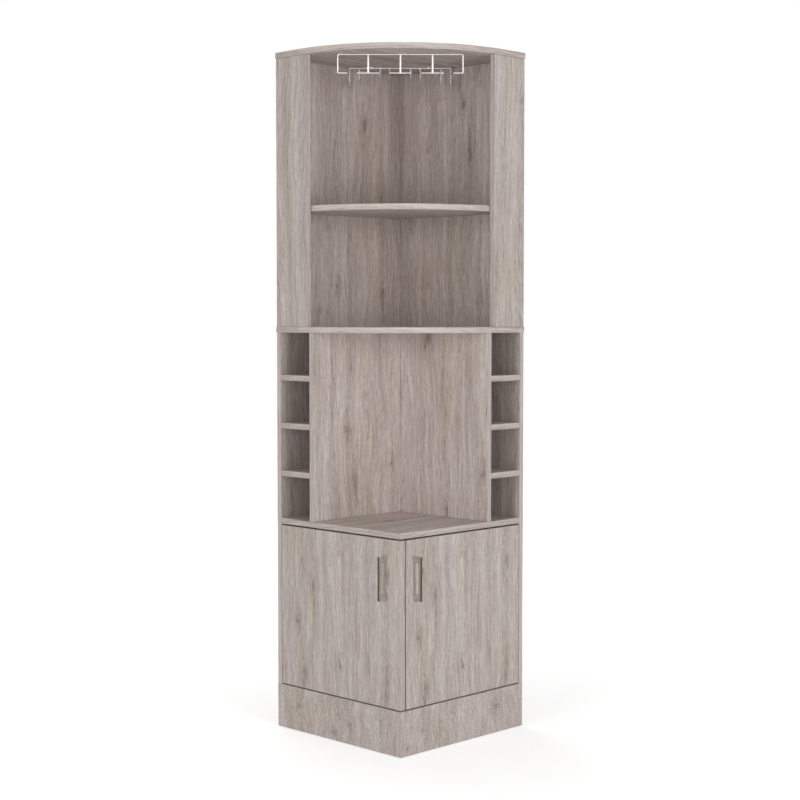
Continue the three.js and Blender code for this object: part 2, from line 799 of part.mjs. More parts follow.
const lowPanel = -overhang;
const highPanel = side + overhang;
addBoard('middle_panel', roundFronted(lowPanel, highPanel, cornerRadius, middleBottom, middleTop));
addBoard('top_panel', roundFronted(lowPanel, highPanel, cornerRadius, topBottom, topBottom + board));
addBoard('upper_shelf', roundFronted(board + seam, inner - seam, 0, shelfBottom, shelfTop));

const doorStart = { left: 0, right: board + doorCornerGap };
for (const hand of hands) {
  addBoard(`side_panel_lower_${hand}`, lowerSide(sideEnd[hand]), hand);
  addBoard(`side_panel_upper_${hand}`, block([board + seam, inner, middleTop + seam],
    [sideEnd[hand], side, topBottom - seam]), hand);
  addBoard(`stile_${hand}`, block([0, side - stileWidth, middleTop + seam],
    [board, side, topBottom - seam]), hand);
  addBoard(`partition_${hand}`, block([0, nicheWidth, counterTop + seam],
    [partitionEnd[hand], partitionBack, middleBottom - seam]), hand);
  bottleShelfBottoms.forEach((bottom, i) => {
    addBoard(`bottle_shelf_${hand}_${i + 1}`, block([0, partitionBack + seam, bottom],
      [shelfEnd[hand], inner - seam, bottom + board]), hand);
  });
  addBoard(`door_${hand}`, block([0, doorStart[hand], doorBottom],
    [board, hingeEdge, doorTop]), hand);
}

export default model;
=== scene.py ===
"""The looks of a corner bar cabinet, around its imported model.

Metres, +Z up. Places in plan are measured from the front corner of the cabinet, where its two
doors meet: x runs along the right front and y along the left front. A piece of the right half
is the left one with x and y changed over.
"""

import math

import bmesh
import bpy
import numpy as np
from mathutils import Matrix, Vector, geometry


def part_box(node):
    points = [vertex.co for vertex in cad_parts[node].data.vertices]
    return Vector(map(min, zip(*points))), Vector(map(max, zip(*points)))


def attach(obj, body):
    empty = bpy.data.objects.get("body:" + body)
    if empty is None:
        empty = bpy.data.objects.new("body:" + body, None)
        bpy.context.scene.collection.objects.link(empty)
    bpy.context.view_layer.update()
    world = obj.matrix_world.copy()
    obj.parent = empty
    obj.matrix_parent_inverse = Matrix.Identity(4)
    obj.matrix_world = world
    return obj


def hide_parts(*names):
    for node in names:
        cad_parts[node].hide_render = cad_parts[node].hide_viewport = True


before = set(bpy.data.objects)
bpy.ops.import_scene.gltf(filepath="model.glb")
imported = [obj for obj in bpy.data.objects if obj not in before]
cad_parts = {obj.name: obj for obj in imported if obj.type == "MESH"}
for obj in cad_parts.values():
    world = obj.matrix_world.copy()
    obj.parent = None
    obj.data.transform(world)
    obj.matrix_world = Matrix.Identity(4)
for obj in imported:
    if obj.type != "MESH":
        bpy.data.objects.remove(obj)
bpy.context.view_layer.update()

# The front corner at the floor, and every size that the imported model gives
corner = np.array([*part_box("plinth_board_right")[0][:2], 0.0])


def measured(node):
    """The lowest and highest corner of a node, from the front corner of the cabinet."""
    low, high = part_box(node)
    return np.array(low) - corner, np.array(high) - corner


side, board, plinth_top = measured("plinth_board_right")[1]
inner = side - board
stile_start = measured("stile_left")[0][1]
niche = measured("partition_left")[0][1]
overhang = -measured("middle_panel")[0][0]
base_low, base_high = (place[2] for place in measured("base_panel"))
counter_low, counter_high = (place[2] for place in measured("counter_panel"))
middle_low, middle_high = (place[2] for place in measured("middle_panel"))
shelf_low, shelf_high = (place[2] for place in measured("upper_shelf"))
top_low, top_high = (place[2] for place in measured("top_panel"))
partition_back = niche + board

HANDS = ("left", "right")
LEVELS = ("lower", "upper")
SEAM = 0.0003  # between pieces that meet
WELD_REACH = 2e-6  # points closer together than this become one
SAME_POINT = 1e-7  # and so do these, where an outline is filled

# Boards
FRONT_RADIUS = 0.380
PANEL_CORNER = 0.003
EDGE_RADIUS = 0.0007  # of every long edge
EDGE_STEPS = 3
CORNER_STEPS = 4
FRONT_STEPS = 90
CORNER_RELIEF = 0.0015  # that the gap between the doors is wider than between their solids

# The print on the boards: where it starts on each one, across and along, and how far it is
# drawn together on the plinth. The strips round the edges start at a place of their own, with
# their streaks drawn out. Boards with a round front start theirs at a lighter place of the
# print, which is painted light on front edges that face the lamps.
PRINT_PLACES = {
    "plinth_board_left": (0.31, 0.11), "plinth_board_right": (0.51, 0.11),
    "base_panel": (0.0, 0.0), "counter_panel": (0.13, 0.37), "middle_panel": (1.014, 0.37),
    "upper_shelf": (0.696, 0.52), "top_panel": (0.29, 0.47),
    "side_panel_lower_left": (0.17, 0.05), "side_panel_lower_right": (0.36, 0.05),
    "side_panel_upper_left": (0.02, 0.18), "side_panel_upper_right": (0.27, 0.41),
    "stile_left": (0.10, 0.33), "stile_right": (0.24, 0.33),
    "partition_left": (0.41, 0.02), "partition_right": (0.08, 0.12),
}
SHELF_PRINT_STEP = (0.07, 0.19)  # from one bottle shelf to the next
PLINTH_SQUEEZE = 3.2
EDGE_DRAW = 0.4
TAPE = (0.710, 0.050)
# Where the edge strip of a round-fronted board starts: a lighter place of the print, painted light
PAINTED_LIGHT_TAPE = (2.075, 0.450)

# Cam locks in the undersides and outer faces of the boards, and their bolts
CAM_BORE = 0.0075
CAM_DEPTH = 0.0125
CAM_SETBACK = 0.024
CAM_INSET = 0.100
CAM_STAGGER = 0.040
CAM_CLEARANCE = 0.0002
CAM_FACE = 0.94  # share of the radius that is flat
CAM_CROSS = (0.52, 0.15)  # half length and half width of its slot, as shares of the radius
CAM_CROSS_DEPTH = 0.0022
BOLT_RADIUS = 0.0033
BOLT_NECK = 0.6  # share of the radius
BOLT_TAPER = 0.001
BOLT_DEPTH = 0.010
BOLT_START = 0.0005  # from the wall of the cam

# Handles
HANDLE_FOOT = 0.016
HANDLE_GRIP = 0.007
HANDLE_INNER_RADIUS = 0.003
HANDLE_EDGE = 0.0005
HANDLE_SPARE = 0.0005  # that each side and end stands out from its solid

# Hinges, in places of their own: up along the side panel, away from its face, and inwards
# from the front face of the door
CUP_RADIUS = 0.0175
CUP_WALL = 0.0008
CUP_PLACE = 0.0225  # of its middle, away from the side panel
CUP_FRONT = 0.0022
CUP_BEND = 0.0018
CUP_STEPS = 6
SHEET_EDGE = 0.0003  # edge radius of pressed sheet
FLANGE_LOW, FLANGE_HIGH = 0.0153, 0.0163
FLANGE_LAP = 0.0001  # over the rim of the cup
FLANGE_MARGIN = 0.002
FLANGE_ROUND = 0.98  # corner radius on the near side, as a share of its half width
NOSE_FOOT, NOSE_TIP, NOSE_RADIUS = 0.62, 0.45, 0.004  # the first two as shares of the half width
EAR_PLACE = 0.032
EAR_WIDTH = 0.012
EAR_REACH = 0.029
EAR_RADIUS, WAIST_RADIUS = 0.0045, 0.003
CUP_SCREW_PLACE = 0.024
PIN_AWAY, PIN_DEEP = 0.0125, 0.0057
PIN_RADIUS = 0.00125
KNUCKLE_RADIUS = 0.0024
ARM_WIDTH = 0.014
ARM_SHEET = 0.0022
ARM_WALL = 0.0014
ARM_LOW, ARM_HIGH = 0.0043, 0.0116
ARM_FRONT, ARM_BACK = 0.029, 0.084
ARM_BACK_RADIUS = 0.0014
ARM_SCREW_DEEP = 0.069
NECK_AWAY = 0.0352
NECK_BEND = 0.0024
NECK_EDGE = 0.0004
NECK_RISE = 0.0015  # from the pin to the bend round the edge of the door
NECK_LAP = 0.006  # along the arm
PLATE_HIGH, PLATE_CORNER = 0.0040, 0.002
PLATE_FRONT, PLATE_BACK = 0.034, 0.082
RIDGE_HIGH, RIDGE_HALF, RIDGE_CORNER = 0.0091, 0.0053, 0.0015
WING_HIGH, WING_REACH, WING_CORNER = 0.0023, 0.024, 0.0075
WING_FRONT, WING_BACK = 0.044, 0.060
PLATE_SCREW_PLACE = 0.016

# The glass rack: x sideways and y back from the middle of the plan, square to the diagonal
RACK_BACK = 0.15206
RACK_LENGTH = 0.238
RACK_HEIGHT = 0.0478
RACK_PITCH = 0.0835
SLOT_COUNT = 4
SLOT_WIDTH = 0.0265
RACK_END_MARGIN = 0.03725
WIRE_RADIUS = 0.0018
POST_RADIUS = 0.0029
WIRE_BEND = 0.0025
BEND_STEPS = 8
ROUND_SIDES = 20
CHAMFER = 0.25  # of the ends of a wire, as a share of its radius
TAB_LENGTH, TAB_DEPTH, TAB_SHEET, TAB_CORNER = 0.018, 0.014, 0.0012, 0.003
FRONT_TAB_INSET = 0.0325

# Screws: radius of the head, its height, radius of the shank, and its length
HANDLE_SCREW = (0.0040, 0.0022, 0.0019, 0.0245)
CUP_SCREW = (0.0032, 0.0015, 0.0016, 0.0118)
PLATE_SCREW = (0.0033, 0.0015, 0.0018, 0.0125)
ARM_SCREW = (0.0034, 0.0019, 0.0019, 0.0062)
TAB_SCREW = (0.0030, 0.0013, 0.0016, 0.0115)

# What all screws share. Shares of the head: how far out the dome goes and how far it falls,
# how high the rim is, and the half length, half width and depth of the cross. Shares of the
# shank: the pitch, the root of the thread, and the radius and length of the tip. Shares of
# the pitch: where the root and the crest lie.
DOME_EDGE, DOME_FALL, RIM_HIGH = 0.9, 0.28, 0.5
CROSS_LONG, CROSS_WIDE, CROSS_DEEP = 0.55, 0.16, 0.6
PITCH, THREAD_ROOT, TIP_RADIUS, TIP_LENGTH = 0.9, 0.8, 0.5, 0.4
ROOT_AT, CREST_AT = 0.3, 0.65
HEAD_STEPS, CAM_STEPS = 14, 16


# Surfaces

class Skin:
    """The surface of one piece, gathered from grids and flat faces.

    `rims` holds the numbers of the points round every face, one face after another, and
    `counts` how many each face has. Each point has its place on the print. Faces of one
    stretch run smoothly into each other, and where two stretches meet the edge is sharp."""

    def __init__(self):
        self.points = np.zeros((0, 3))
        self.prints = np.zeros((0, 2))
        self.rims, self.counts, self.stretches, self.finishes = np.zeros((4, 0), np.int32)

    def add(self, points, rims, counts, prints=None, stretches=0, finish=0):
        """Adds points and the faces between them, whose numbers start at the new points."""
        known, begun = len(self.points), self.stretches.max(initial=-1) + 1
        if prints is None:
            prints = np.zeros((len(points), 2))
        stretches = np.broadcast_to(stretches + begun, len(counts))
        finishes = np.broadcast_to(finish, len(counts))
        self.points = np.concatenate([self.points, points])
        self.prints = np.concatenate([self.prints, prints])
        self.rims = np.r_[self.rims, rims + known].astype(np.int32)
        self.counts = np.r_[self.counts, counts].astype(np.int32)
        self.stretches = np.r_[self.stretches, stretches].astype(np.int32)
        self.finishes = np.r_[self.finishes, finishes].astype(np.int32)
        return self

    def sheet(self, points, prints=None, stretches=0, finish=0):
        """A grid of points, rows by columns, as four-sided faces. They look the way that the
        columns' direction crossed with the rows' direction points."""
        rows, columns = points.shape[:2]
        number = np.arange(rows * columns).reshape(rows, columns)
        rims = np.stack([number[:-1, :-1], number[:-1, 1:], number[1:, 1:], number[1:, :-1]], -1)
        flat_prints = None if prints is None else prints.reshape(-1, 2)
        return self.add(points.reshape(-1, 3), rims.ravel(), np.full(rims[..., 0].size, 4),
                        flat_prints, np.ravel(stretches), np.ravel(finish))

    def plate(self, points, rims, counts, up, prints=None, finish=0):
        """Flat faces whose points run anticlockwise seen from above, and look up or down."""
        way = 1 if up else -1
        return self.add(points, rims[::way], counts[::way], prints, finish=finish)

    def placed(self, axes, origin=(0, 0, 0)):
        """The same surface with its three axes laid along the given directions. Where that
        mirrors it, its faces and the points round them are taken in the opposite order."""
        axes = np.array(axes, float)
        self.points = self.points @ axes + np.array(origin, float)
        if np.linalg.det(axes) < 0:
            self.rims, self.counts = self.rims[::-1], self.counts[::-1]
            self.stretches, self.finishes = self.stretches[::-1], self.finishes[::-1]
        return self

    def joined(self, *others):
        for other in others:
            self.add(other.points, other.rims, other.counts, other.prints, other.stretches,
                     other.finishes)
        return self


def make_piece(name, skin, slot, body="cabinet", replaced=None):
    """Turns a surface into an object at the origin, welds its seams and sharpens its edges."""
    mesh = bpy.data.meshes.new(name)
    for finish in FINISHES[slot]:
        mesh.materials.append(finish)
    mesh.vertices.add(len(skin.points))
    mesh.vertices.foreach_set("co", (skin.points + corner).ravel())
    mesh.loops.add(len(skin.rims))
    mesh.loops.foreach_set("vertex_index", skin.rims)
    mesh.polygons.add(len(skin.counts))
    mesh.polygons.foreach_set("loop_start", (np.cumsum(skin.counts) - skin.counts).astype(np.int32))
    mesh.polygons.foreach_set("material_index", skin.finishes)
    mesh.polygons.foreach_set("use_smooth", np.ones(len(skin.counts), bool))
    mesh.update(calc_edges=True)
    mesh.uv_layers.new(name="print").data.foreach_set("uv", skin.prints[skin.rims].ravel())
    mesh.attributes.new("stretch", "INT", "FACE").data.foreach_set("value", skin.stretches)
    weld(mesh)
    sharpen(mesh)
    piece = bpy.data.objects.new(name, mesh)
    bpy.context.scene.collection.objects.link(piece)
    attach(piece, body)
    if replaced:
        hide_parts(replaced)


def weld(mesh):
    """Merges points that lie together, which closes seams and poles."""
    work = bmesh.new()
    work.from_mesh(mesh)
    bmesh.ops.remove_doubles(work, verts=work.verts, dist=WELD_REACH)
    work.to_mesh(mesh)
    work.free()


def sharpen(mesh):
    """Marks each edge sharp whose two faces belong to different stretches."""
    counts, stretch = np.zeros((2, len(mesh.polygons)), np.int32)
    edge = np.zeros(len(mesh.loops), np.int32)
    mesh.polygons.foreach_get("loop_total", counts)
    mesh.attributes["stretch"].data.foreach_get("value", stretch)
    mesh.loops.foreach_get("edge_index", edge)
    owner = np.repeat(stretch, counts)
    lowest = np.full(len(mesh.edges), np.iinfo(np.int32).max)
    highest = np.full(len(mesh.edges), -1)
    np.minimum.at(lowest, edge, owner)
    np.maximum.at(highest, edge, owner)
    mesh.attributes.new("sharp_edge", "BOOLEAN", "EDGE").data.foreach_set("value", lowest != highest)
    mesh.attributes.remove(mesh.attributes["stretch"])


def outline(corners):
    """Points, outward normals and stretches of a closed outline that runs anticlockwise.

    A corner is x, y and the radius of its arc, and may add a number of steps. An arc starts
    where its circle touches one side, and each of its points is the middle of the circle plus
    the radius times a normal that turns evenly from one side's normal to the next one's. In a
    hollow corner the radius counts backwards."""
    places = np.array([place[:2] for place in corners], float)
    ahead = np.roll(places, -1, axis=0) - places
    ahead /= np.linalg.norm(ahead, axis=1)[:, None]
    behind = np.roll(ahead, 1, axis=0)
    points, normals, stretches = [], [], []
    for i, (place, came, goes) in enumerate(zip(corners, behind, ahead)):
        radius = place[2]
        steps = place[3] if len(place) > 3 else CORNER_STEPS
        turn = math.atan2(came[0] * goes[1] - came[1] * goes[0], came @ goes)
        bulge = math.copysign(radius, turn)
        start = places[i] - came * radius * math.tan(abs(turn) / 2)
        middle = start + bulge * np.array([-came[1], came[0]])
        angles = math.atan2(-came[0], came[1]) + turn * np.linspace(0, 1, steps + 1)
        normal = np.stack([np.cos(angles), np.sin(angles)], axis=1)
        points.append(middle + bulge * normal)
        normals.append(normal)
        stretches.append(np.r_[np.full(steps, 2 * i), 2 * i + 1])
    return np.concatenate(points), np.concatenate(normals), np.concatenate(stretches)


def circle(radius, sides=2 * ROUND_SIDES):
    """Points of a circle, the radius times the cosine and the sine of an angle that goes once
    round. The first point comes again at the end."""
    angles = np.linspace(0, 2 * math.pi, sides + 1)
    return radius * np.stack([np.cos(angles), np.sin(angles)], axis=1)


def slab(corners, low, high, rounding=EDGE_RADIUS, holes=(), grain=1, squeeze=1.0,
         print_place=(0.0, 0.0), tape=TAPE, mirrored=False, faced=None):
    """A flat piece: an outline carried up through its thickness, its long edges rounded.

    Each row of the side is the outline drawn in along its normals. Round an edge it is drawn
    in by the radius less the radius times the sine of an angle, at a height of the radius
    less the radius times its cosine. A hole is its x, y, radius, depth, and True if it goes
    in from the high face; one without a depth goes right through. `grain` is the axis that
    the grain follows on the two faces, and `mirrored` turns the print over. On the side the
    print follows the edge, from the place `tape`. `faced` is the corner after which the side
    has its second finish."""
    points, normals, parts = outline(corners)
    angles = np.linspace(0, math.pi / 2, EDGE_STEPS + 1)
    inset = rounding * (1 - np.sin(angles))
    rise = rounding * (1 - np.cos(angles))
    insets = np.r_[inset, inset[::-1]]
    heights = np.r_[low + rise, high - rise[::-1]]
    rim = np.concatenate([points, points[:1]])
    lean = np.concatenate([normals, normals[:1]])
    rows = np.empty((len(insets), len(rim), 3))
    rows[..., :2] = rim[None] - insets[:, None, None] * lean[None]
    rows[..., 2] = heights[:, None]
    along = np.r_[0, np.cumsum(np.linalg.norm(np.diff(rim, axis=0), axis=1))]
    edge_print = np.empty(rows.shape[:2] + (2,))
    edge_print[..., 0] = heights[:, None] - low + tape[0]
    edge_print[..., 1] = along[None] * EDGE_DRAW + tape[1]
    stretches, finishes = np.zeros((2, len(insets) - 1, len(rim) - 1), int)
    stretches[EDGE_STEPS] = 2 + parts
    stretches[EDGE_STEPS + 1:] = 1
    if faced is not None:
        finishes[:, parts == 2 * faced + 1] = 1
    skin = Skin().sheet(rows, edge_print, stretches, finishes)

    for height, row, top in ((low, rows[0], False), (high, rows[-1], True)):
        cut = [hole for hole in holes if hole[3] is None or hole[4] == top]
        flat, rims, counts = filled([row[:-1, :2]] + [circle(r)[:-1] + (x, y) for x, y, r, *_ in cut])
        place = np.c_[flat, np.full(len(flat), height)]
        across = flat[:, 1 - grain] * (-1 if mirrored else 1)
        prints = np.c_[across, flat[:, grain] * squeeze] + print_place
        skin.plate(place, rims, counts, top, prints)
        for x, y, radius, depth, *_ in cut:
            if depth is not None:
                end = height - depth if top else height + depth
                skin.joined(bored(x, y, radius, height, end, through=False))
            elif not top:
                skin.joined(bored(x, y, radius, height, high, through=True))
    return skin


def bored(x, y, radius, mouth, end, through):
    """The wall of a hole, a circle carried down from the higher of its mouth and its end, and
    its floor, which looks back at the mouth. A blind hole has the second finish."""
    ring = circle(radius) + (x, y)
    finish = 0 if through else 1
    rows = [np.c_[ring, np.full(len(ring), height)] for height in (max(mouth, end), min(mouth, end))]
    hole = Skin().sheet(np.array(rows), finish=finish)
    if not through:
        floor = np.c_[ring[:-1], np.full(len(ring) - 1, end)]
        hole.plate(floor, np.arange(len(floor)), np.array([len(floor)]), mouth > end, finish=finish)
    return hole


def filled(loops):
    """Fills a flat outline, less the holes in it. The first loop is the outline, and all loops
    and the faces that come back run anticlockwise."""
    flat = np.concatenate(loops)
    if len(loops) == 1:
        return flat, np.arange(len(flat)), np.array([len(flat)])
    starts = np.cumsum([0] + [len(loop) for loop in loops])
    rings = [list(range(a, b)) for a, b in zip(starts, starts[1:])]
    inside_without_holes = 2
    flat, _, faces, *_ = geometry.delaunay_2d_cdt([Vector(place) for place in flat], [], rings,
                                                  inside_without_holes, SAME_POINT)
    return np.array(flat), np.concatenate(faces), np.array([len(face) for face in faces])


def turned(profile, sides=2 * ROUND_SIDES, dip=None):
    """A round piece: each point of a profile (radius, height) carried round the upright axis,
    to x of the radius times the cosine of an angle and y of the radius times its sine.
    `dip(x, y)` is how far the surface sinks at a place of its top face, which is that part of
    the profile before the radius first reaches its greatest value."""
    radius, height = np.array(profile, float).T
    angles = np.linspace(0, 2 * math.pi, sides + 1)
    x = radius[:, None] * np.cos(angles)[None]
    y = radius[:, None] * np.sin(angles)[None]
    z = np.repeat(height[:, None], sides + 1, axis=1)
    if dip is not None:
        face = np.arange(len(radius)) < np.argmax(radius)
        z = z - dip(x, y) * face[:, None]
    return Skin().sheet(np.stack([x, y, z], axis=-1)[:, ::-1])


def cross_slot(half_length, half_width, depth):
    """A cross-shaped recess: how far it sinks at x, y. With the nearer and the farther of the
    two distances from the axes, that is the depth times what is left of the half width times
    what is left of the half length, each measured in slopes and at most 1."""
    slope = half_width / 2

    def dip(x, y):
        near, far = np.minimum(abs(x), abs(y)), np.maximum(abs(x), abs(y))
        beside, beyond = (half_width - near) / slope, (half_length - far) / slope
        return depth * (np.clip(beside, 0, 1) * np.clip(beyond, 0, 1))

    return dip


def screw(kind):
    """A screw that points down, its seat at height 0. The dome of its head falls with the
    square of the way out and has a cross in it, and the radius of its shank swings between
    the root and the crest of the thread."""
    head, height, shank, length = kind
    face = np.linspace(0, head * DOME_EDGE, HEAD_STEPS)
    dome = height - DOME_FALL * height * (face / head) ** 2
    rim = [(head, height * RIM_HIGH), (head, 0.0), (shank, 0.0)]
    pitch = shank * PITCH
    thread = []
    for turn in range(int((length - shank) / pitch)):
        level = -turn * pitch
        thread += [(shank * THREAD_ROOT, level - pitch * ROOT_AT), (shank, level - pitch * CREST_AT)]
    tip = [(shank * TIP_RADIUS, -length + shank * TIP_LENGTH), (0, -length)]
    cross = cross_slot(head * CROSS_LONG, head * CROSS_WIDE, height * CROSS_DEEP)
    return turned([*zip(face, dome), *rim, *thread, *tip], dip=cross)


def bent(corners, radius):
    """A line through its corners, each but the ends rounded by an arc: from where the arc
    leaves one side, its points go forward by the sine and aside by one less the cosine."""
    corners = [np.array(place, float) for place in corners]
    line = [corners[0][None]]
    for before, place, after in zip(corners, corners[1:], corners[2:]):
        came = (place - before) / np.linalg.norm(place - before)
        goes = (after - place) / np.linalg.norm(after - place)
        turn = math.acos(np.clip(came @ goes, -1, 1))
        aside = goes - came * math.cos(turn)
        aside /= np.linalg.norm(aside)
        angles = np.linspace(0, turn, BEND_STEPS + 1)[:, None]
        start = place - came * radius * math.tan(turn / 2)
        line.append(start + radius * (np.sin(angles) * came + (1 - np.cos(angles)) * aside))
    line.append(corners[-1][None])
    return np.concatenate(line)


def headings(line):
    """The direction of a line at each of its points, halfway between its two stretches."""
    steps = np.diff(line, axis=0)
    steps /= np.linalg.norm(steps, axis=1)[:, None]
    both = np.concatenate([steps[:1], steps]) + np.concatenate([steps, steps[-1:]])
    return both / np.linalg.norm(both, axis=1)[:, None]


def round_wire(line, radius):
    """A wire: a circle carried along a line, square to it. Its points are the line's point
    plus the radius times cosine times one direction plus sine times another. The first is the
    line's own direction crossed with a slanting one that no line takes, and the second is the
    line's direction crossed with the first. At each end a small chamfer closes to a point."""
    ahead = headings(line)
    chamfer = radius * CHAMFER
    first = [line[0], line[0], line[0] + ahead[0] * chamfer]
    last = [line[-1] - ahead[-1] * chamfer, line[-1], line[-1]]
    path = np.concatenate([first, line[1:-1], last])
    ahead = np.concatenate([ahead[:1].repeat(2, 0), ahead, ahead[-1:].repeat(2, 0)])
    radii = np.full(len(path), radius)
    radii[[0, -1]] = 0
    radii[[1, -2]] = radius - chamfer
    slant = np.ones(3) / math.sqrt(3)
    aside = np.cross(ahead, slant)
    aside /= np.linalg.norm(aside, axis=1)[:, None]
    above = np.cross(ahead, aside)
    ring = circle(1.0, ROUND_SIDES)
    points = path[:, None] + radii[:, None, None] * (
        ring[None, :, :1] * aside[:, None] + ring[None, :, 1:] * above[:, None])
    stretches = np.zeros((len(path) - 1, ROUND_SIDES), int)
    stretches[[0, -1]] = 1
    stretches[[1, -2]] = 2
    return Skin().sheet(points, stretches=stretches)


def straight_wire(start, end, radius):
    return round_wire(np.linspace(start, end, 3), radius)


def swept(corners, line, across):
    """A strip: the outline of its section carried along a line, both ends filled. A point u, v
    of the section comes to the line's point plus u times `across` plus v times the line's
    direction crossed with `across`."""
    section, _, parts = outline(corners)
    rim = np.concatenate([section, section[:1]])
    across = np.array(across, float)
    above = np.cross(headings(line), across)
    points = line[:, None] + rim[None, :, :1] * across + rim[None, :, 1:] * above[:, None]
    skin = Skin().sheet(points, stretches=np.repeat(parts[None], len(line) - 1, axis=0))
    whole, count = np.arange(len(section)), np.array([len(section)])
    return skin.plate(points[0, :-1], whole, count, False).plate(points[-1, :-1], whole, count, True)


def box_corners(left, low, right, high, radius):
    return [(left, low, radius), (right, low, radius), (right, high, radius), (left, high, radius)]


def both_sides(half):
    """Corners with x, two numbers more, and then the same ones back again with x turned over."""
    return half + [(-x, second, third) for x, second, third in half[::-1]]


# Directions of a slab's own axes: width, height or length, and thickness
X, Y, Z = np.eye(3)
STANDS_ON_LEFT_FRONT = (Y, Z, X)
STANDS_ON_RIGHT_FRONT = (X, Z, Y)
LIES = (X, Y, Z)
LIES_CHANGED_OVER = (Y, X, Z)
CHANGED_OVER = np.array((Y, X, Z))
# Across and along the diagonal of the plan, seen from the front corner
TO_RIGHT, TO_BACK = (X - Y) / math.sqrt(2), (X + Y) / math.sqrt(2)


def to_hand(axes, hand):
    """The same directions for that half of the cabinet."""
    axes = np.array(axes, float)
    return axes if hand == "left" else axes @ CHANGED_OVER


def spot_to_hand(spot, hand):
    x, y, z = spot
    return (x, y, z) if hand == "left" else (y, x, z)


# Finishes

class Nodes:
    """The nodes of a material or of the world, which are added and wired one by one."""

    def __init__(self, tree):
        self.tree = tree

    def node(self, kind, values=(), **settings):
        made = self.tree.nodes.new("ShaderNode" + kind)
        for key, value in settings.items():
            setattr(made, key, value)
        for key, value in dict(values).items():
            self.feed(made.inputs[key], value)
        return made

    def feed(self, socket, value):
        if isinstance(value, bpy.types.NodeSocket):
            self.tree.links.new(value, socket)
        else:
            socket.default_value = value

    def math(self, operation, first, second=0.0, clamp=False):
        return self.node("Math", {0: first, 1: second}, operation=operation,
                         use_clamp=clamp).outputs[0]

    def plus(self, first, second, clamp=False):
        return self.math("ADD", first, second, clamp)

    def less(self, first, second):
        return self.math("SUBTRACT", first, second)

    def times(self, first, second, clamp=False):
        return self.math("MULTIPLY", first, second, clamp)

    def vector(self, operation, *values):
        """Vector math, which gives a number for a dot product or a distance."""
        made = self.node("VectorMath", dict(enumerate(values)), operation=operation)
        return made.outputs["Value" if operation in ("DOT_PRODUCT", "DISTANCE") else "Vector"]

    def mix(self, share, first, second, blend="MIX"):
        made = self.node("Mix", {0: share, 6: first, 7: second}, data_type="RGBA", blend_type=blend)
        return made.outputs[2]

    def stretched(self, place, scale, offset=(0, 0, 0)):
        return self.node("Mapping", {"Vector": place, "Scale": scale, "Location": offset}).outputs[0]

    def noise(self, place, detail=2.0, roughness=0.5, flat=True, output="Fac"):
        made = self.node("TexNoise", {"Vector": place, "Scale": 1.0, "Detail": detail,
                                      "Roughness": roughness},
                         noise_dimensions="2D" if flat else "3D")
        return made.outputs[output]

    def between(self, value, low, high, to_low=0.0, to_high=1.0):
        made = self.node("MapRange", {0: value, 1: low, 2: high, 3: to_low, 4: to_high})
        return made.outputs[0]

    def seen(self):
        """1 for a ray from the camera, straight or by way of something shiny, and else 0."""
        path = self.node("LightPath").outputs
        shiny = self.math("MAXIMUM", path["Is Glossy Ray"], path["Is Transmission Ray"])
        return self.math("MAXIMUM", path["Is Camera Ray"], shiny)


class Finish(Nodes):
    """A material under construction."""

    def __init__(self, name):
        self.material = bpy.data.materials.new(name)
        self.material.use_nodes = True
        super().__init__(self.material.node_tree)
        self.shader = self.tree.nodes["Principled BSDF"]

    def bump(self, height, strength, distance):
        made = self.node("Bump", {"Height": height, "Strength": strength, "Distance": distance})
        self.feed(self.shader.inputs["Normal"], made.outputs[0])

    def set(self, **values):
        for key, value in values.items():
            self.feed(self.shader.inputs[key.replace("_", " ").title()], value)


def colour(red, green, blue):
    """A colour written as it looks on a screen, from 0 to 255, as light: the curve of sRGB."""
    share = np.array([red, green, blue]) / 255
    light = np.where(share <= 0.04045, share / 12.92, ((share + 0.055) / 1.055) ** 2.4)
    return (*light, 1.0)


# Knots of the print: place across and along, half width, half length, depth of tone. The
# print comes again after each repeat, as it does on every board of the real thing.
KNOTS = (
    (0.080, 0.338, 0.0026, 0.0100, 0.55),
    (0.124, 0.274, 0.0070, 0.0130, 0.30),
    (0.064, 0.174, 0.0060, 0.0070, 0.85),
    (0.089, 0.041, 0.0065, 0.0190, 0.80),
    (0.227, 0.086, 0.0050, 0.0060, 0.60),
    (0.399, 0.326, 0.0050, 0.0140, 0.50),
    (0.401, 0.065, 0.0032, 0.0070, 0.60),
    (0.224, 0.386, 0.0060, 0.0150, 0.30),
    (0.330, 0.530, 0.0070, 0.0150, 0.60),
)
PRINT_REPEAT = (0.470, 0.640)
KNOT_LUMPS = (85, 26, 1)  # to a metre
KNOT_PUSH = (0.020, 0.055, 0)  # of the places by the lumps
HALO_WIDER, HALO_LONGER = 2.8, 5.0  # than the knot that the halo lies round
KNOT_PULL = (0.75, 0, 0)  # of the grain by the halo


def hill(finish, away, half_width, half_length):
    """e to the power of minus the squared distance from the middle of a knot, measured in the
    half width and the half length."""
    scaled = finish.vector("MULTIPLY", away, (1 / half_width, 1 / half_length, 0))
    squared = finish.vector("DOT_PRODUCT", scaled, scaled)
    return finish.math("EXPONENT", finish.times(squared, -1.0))


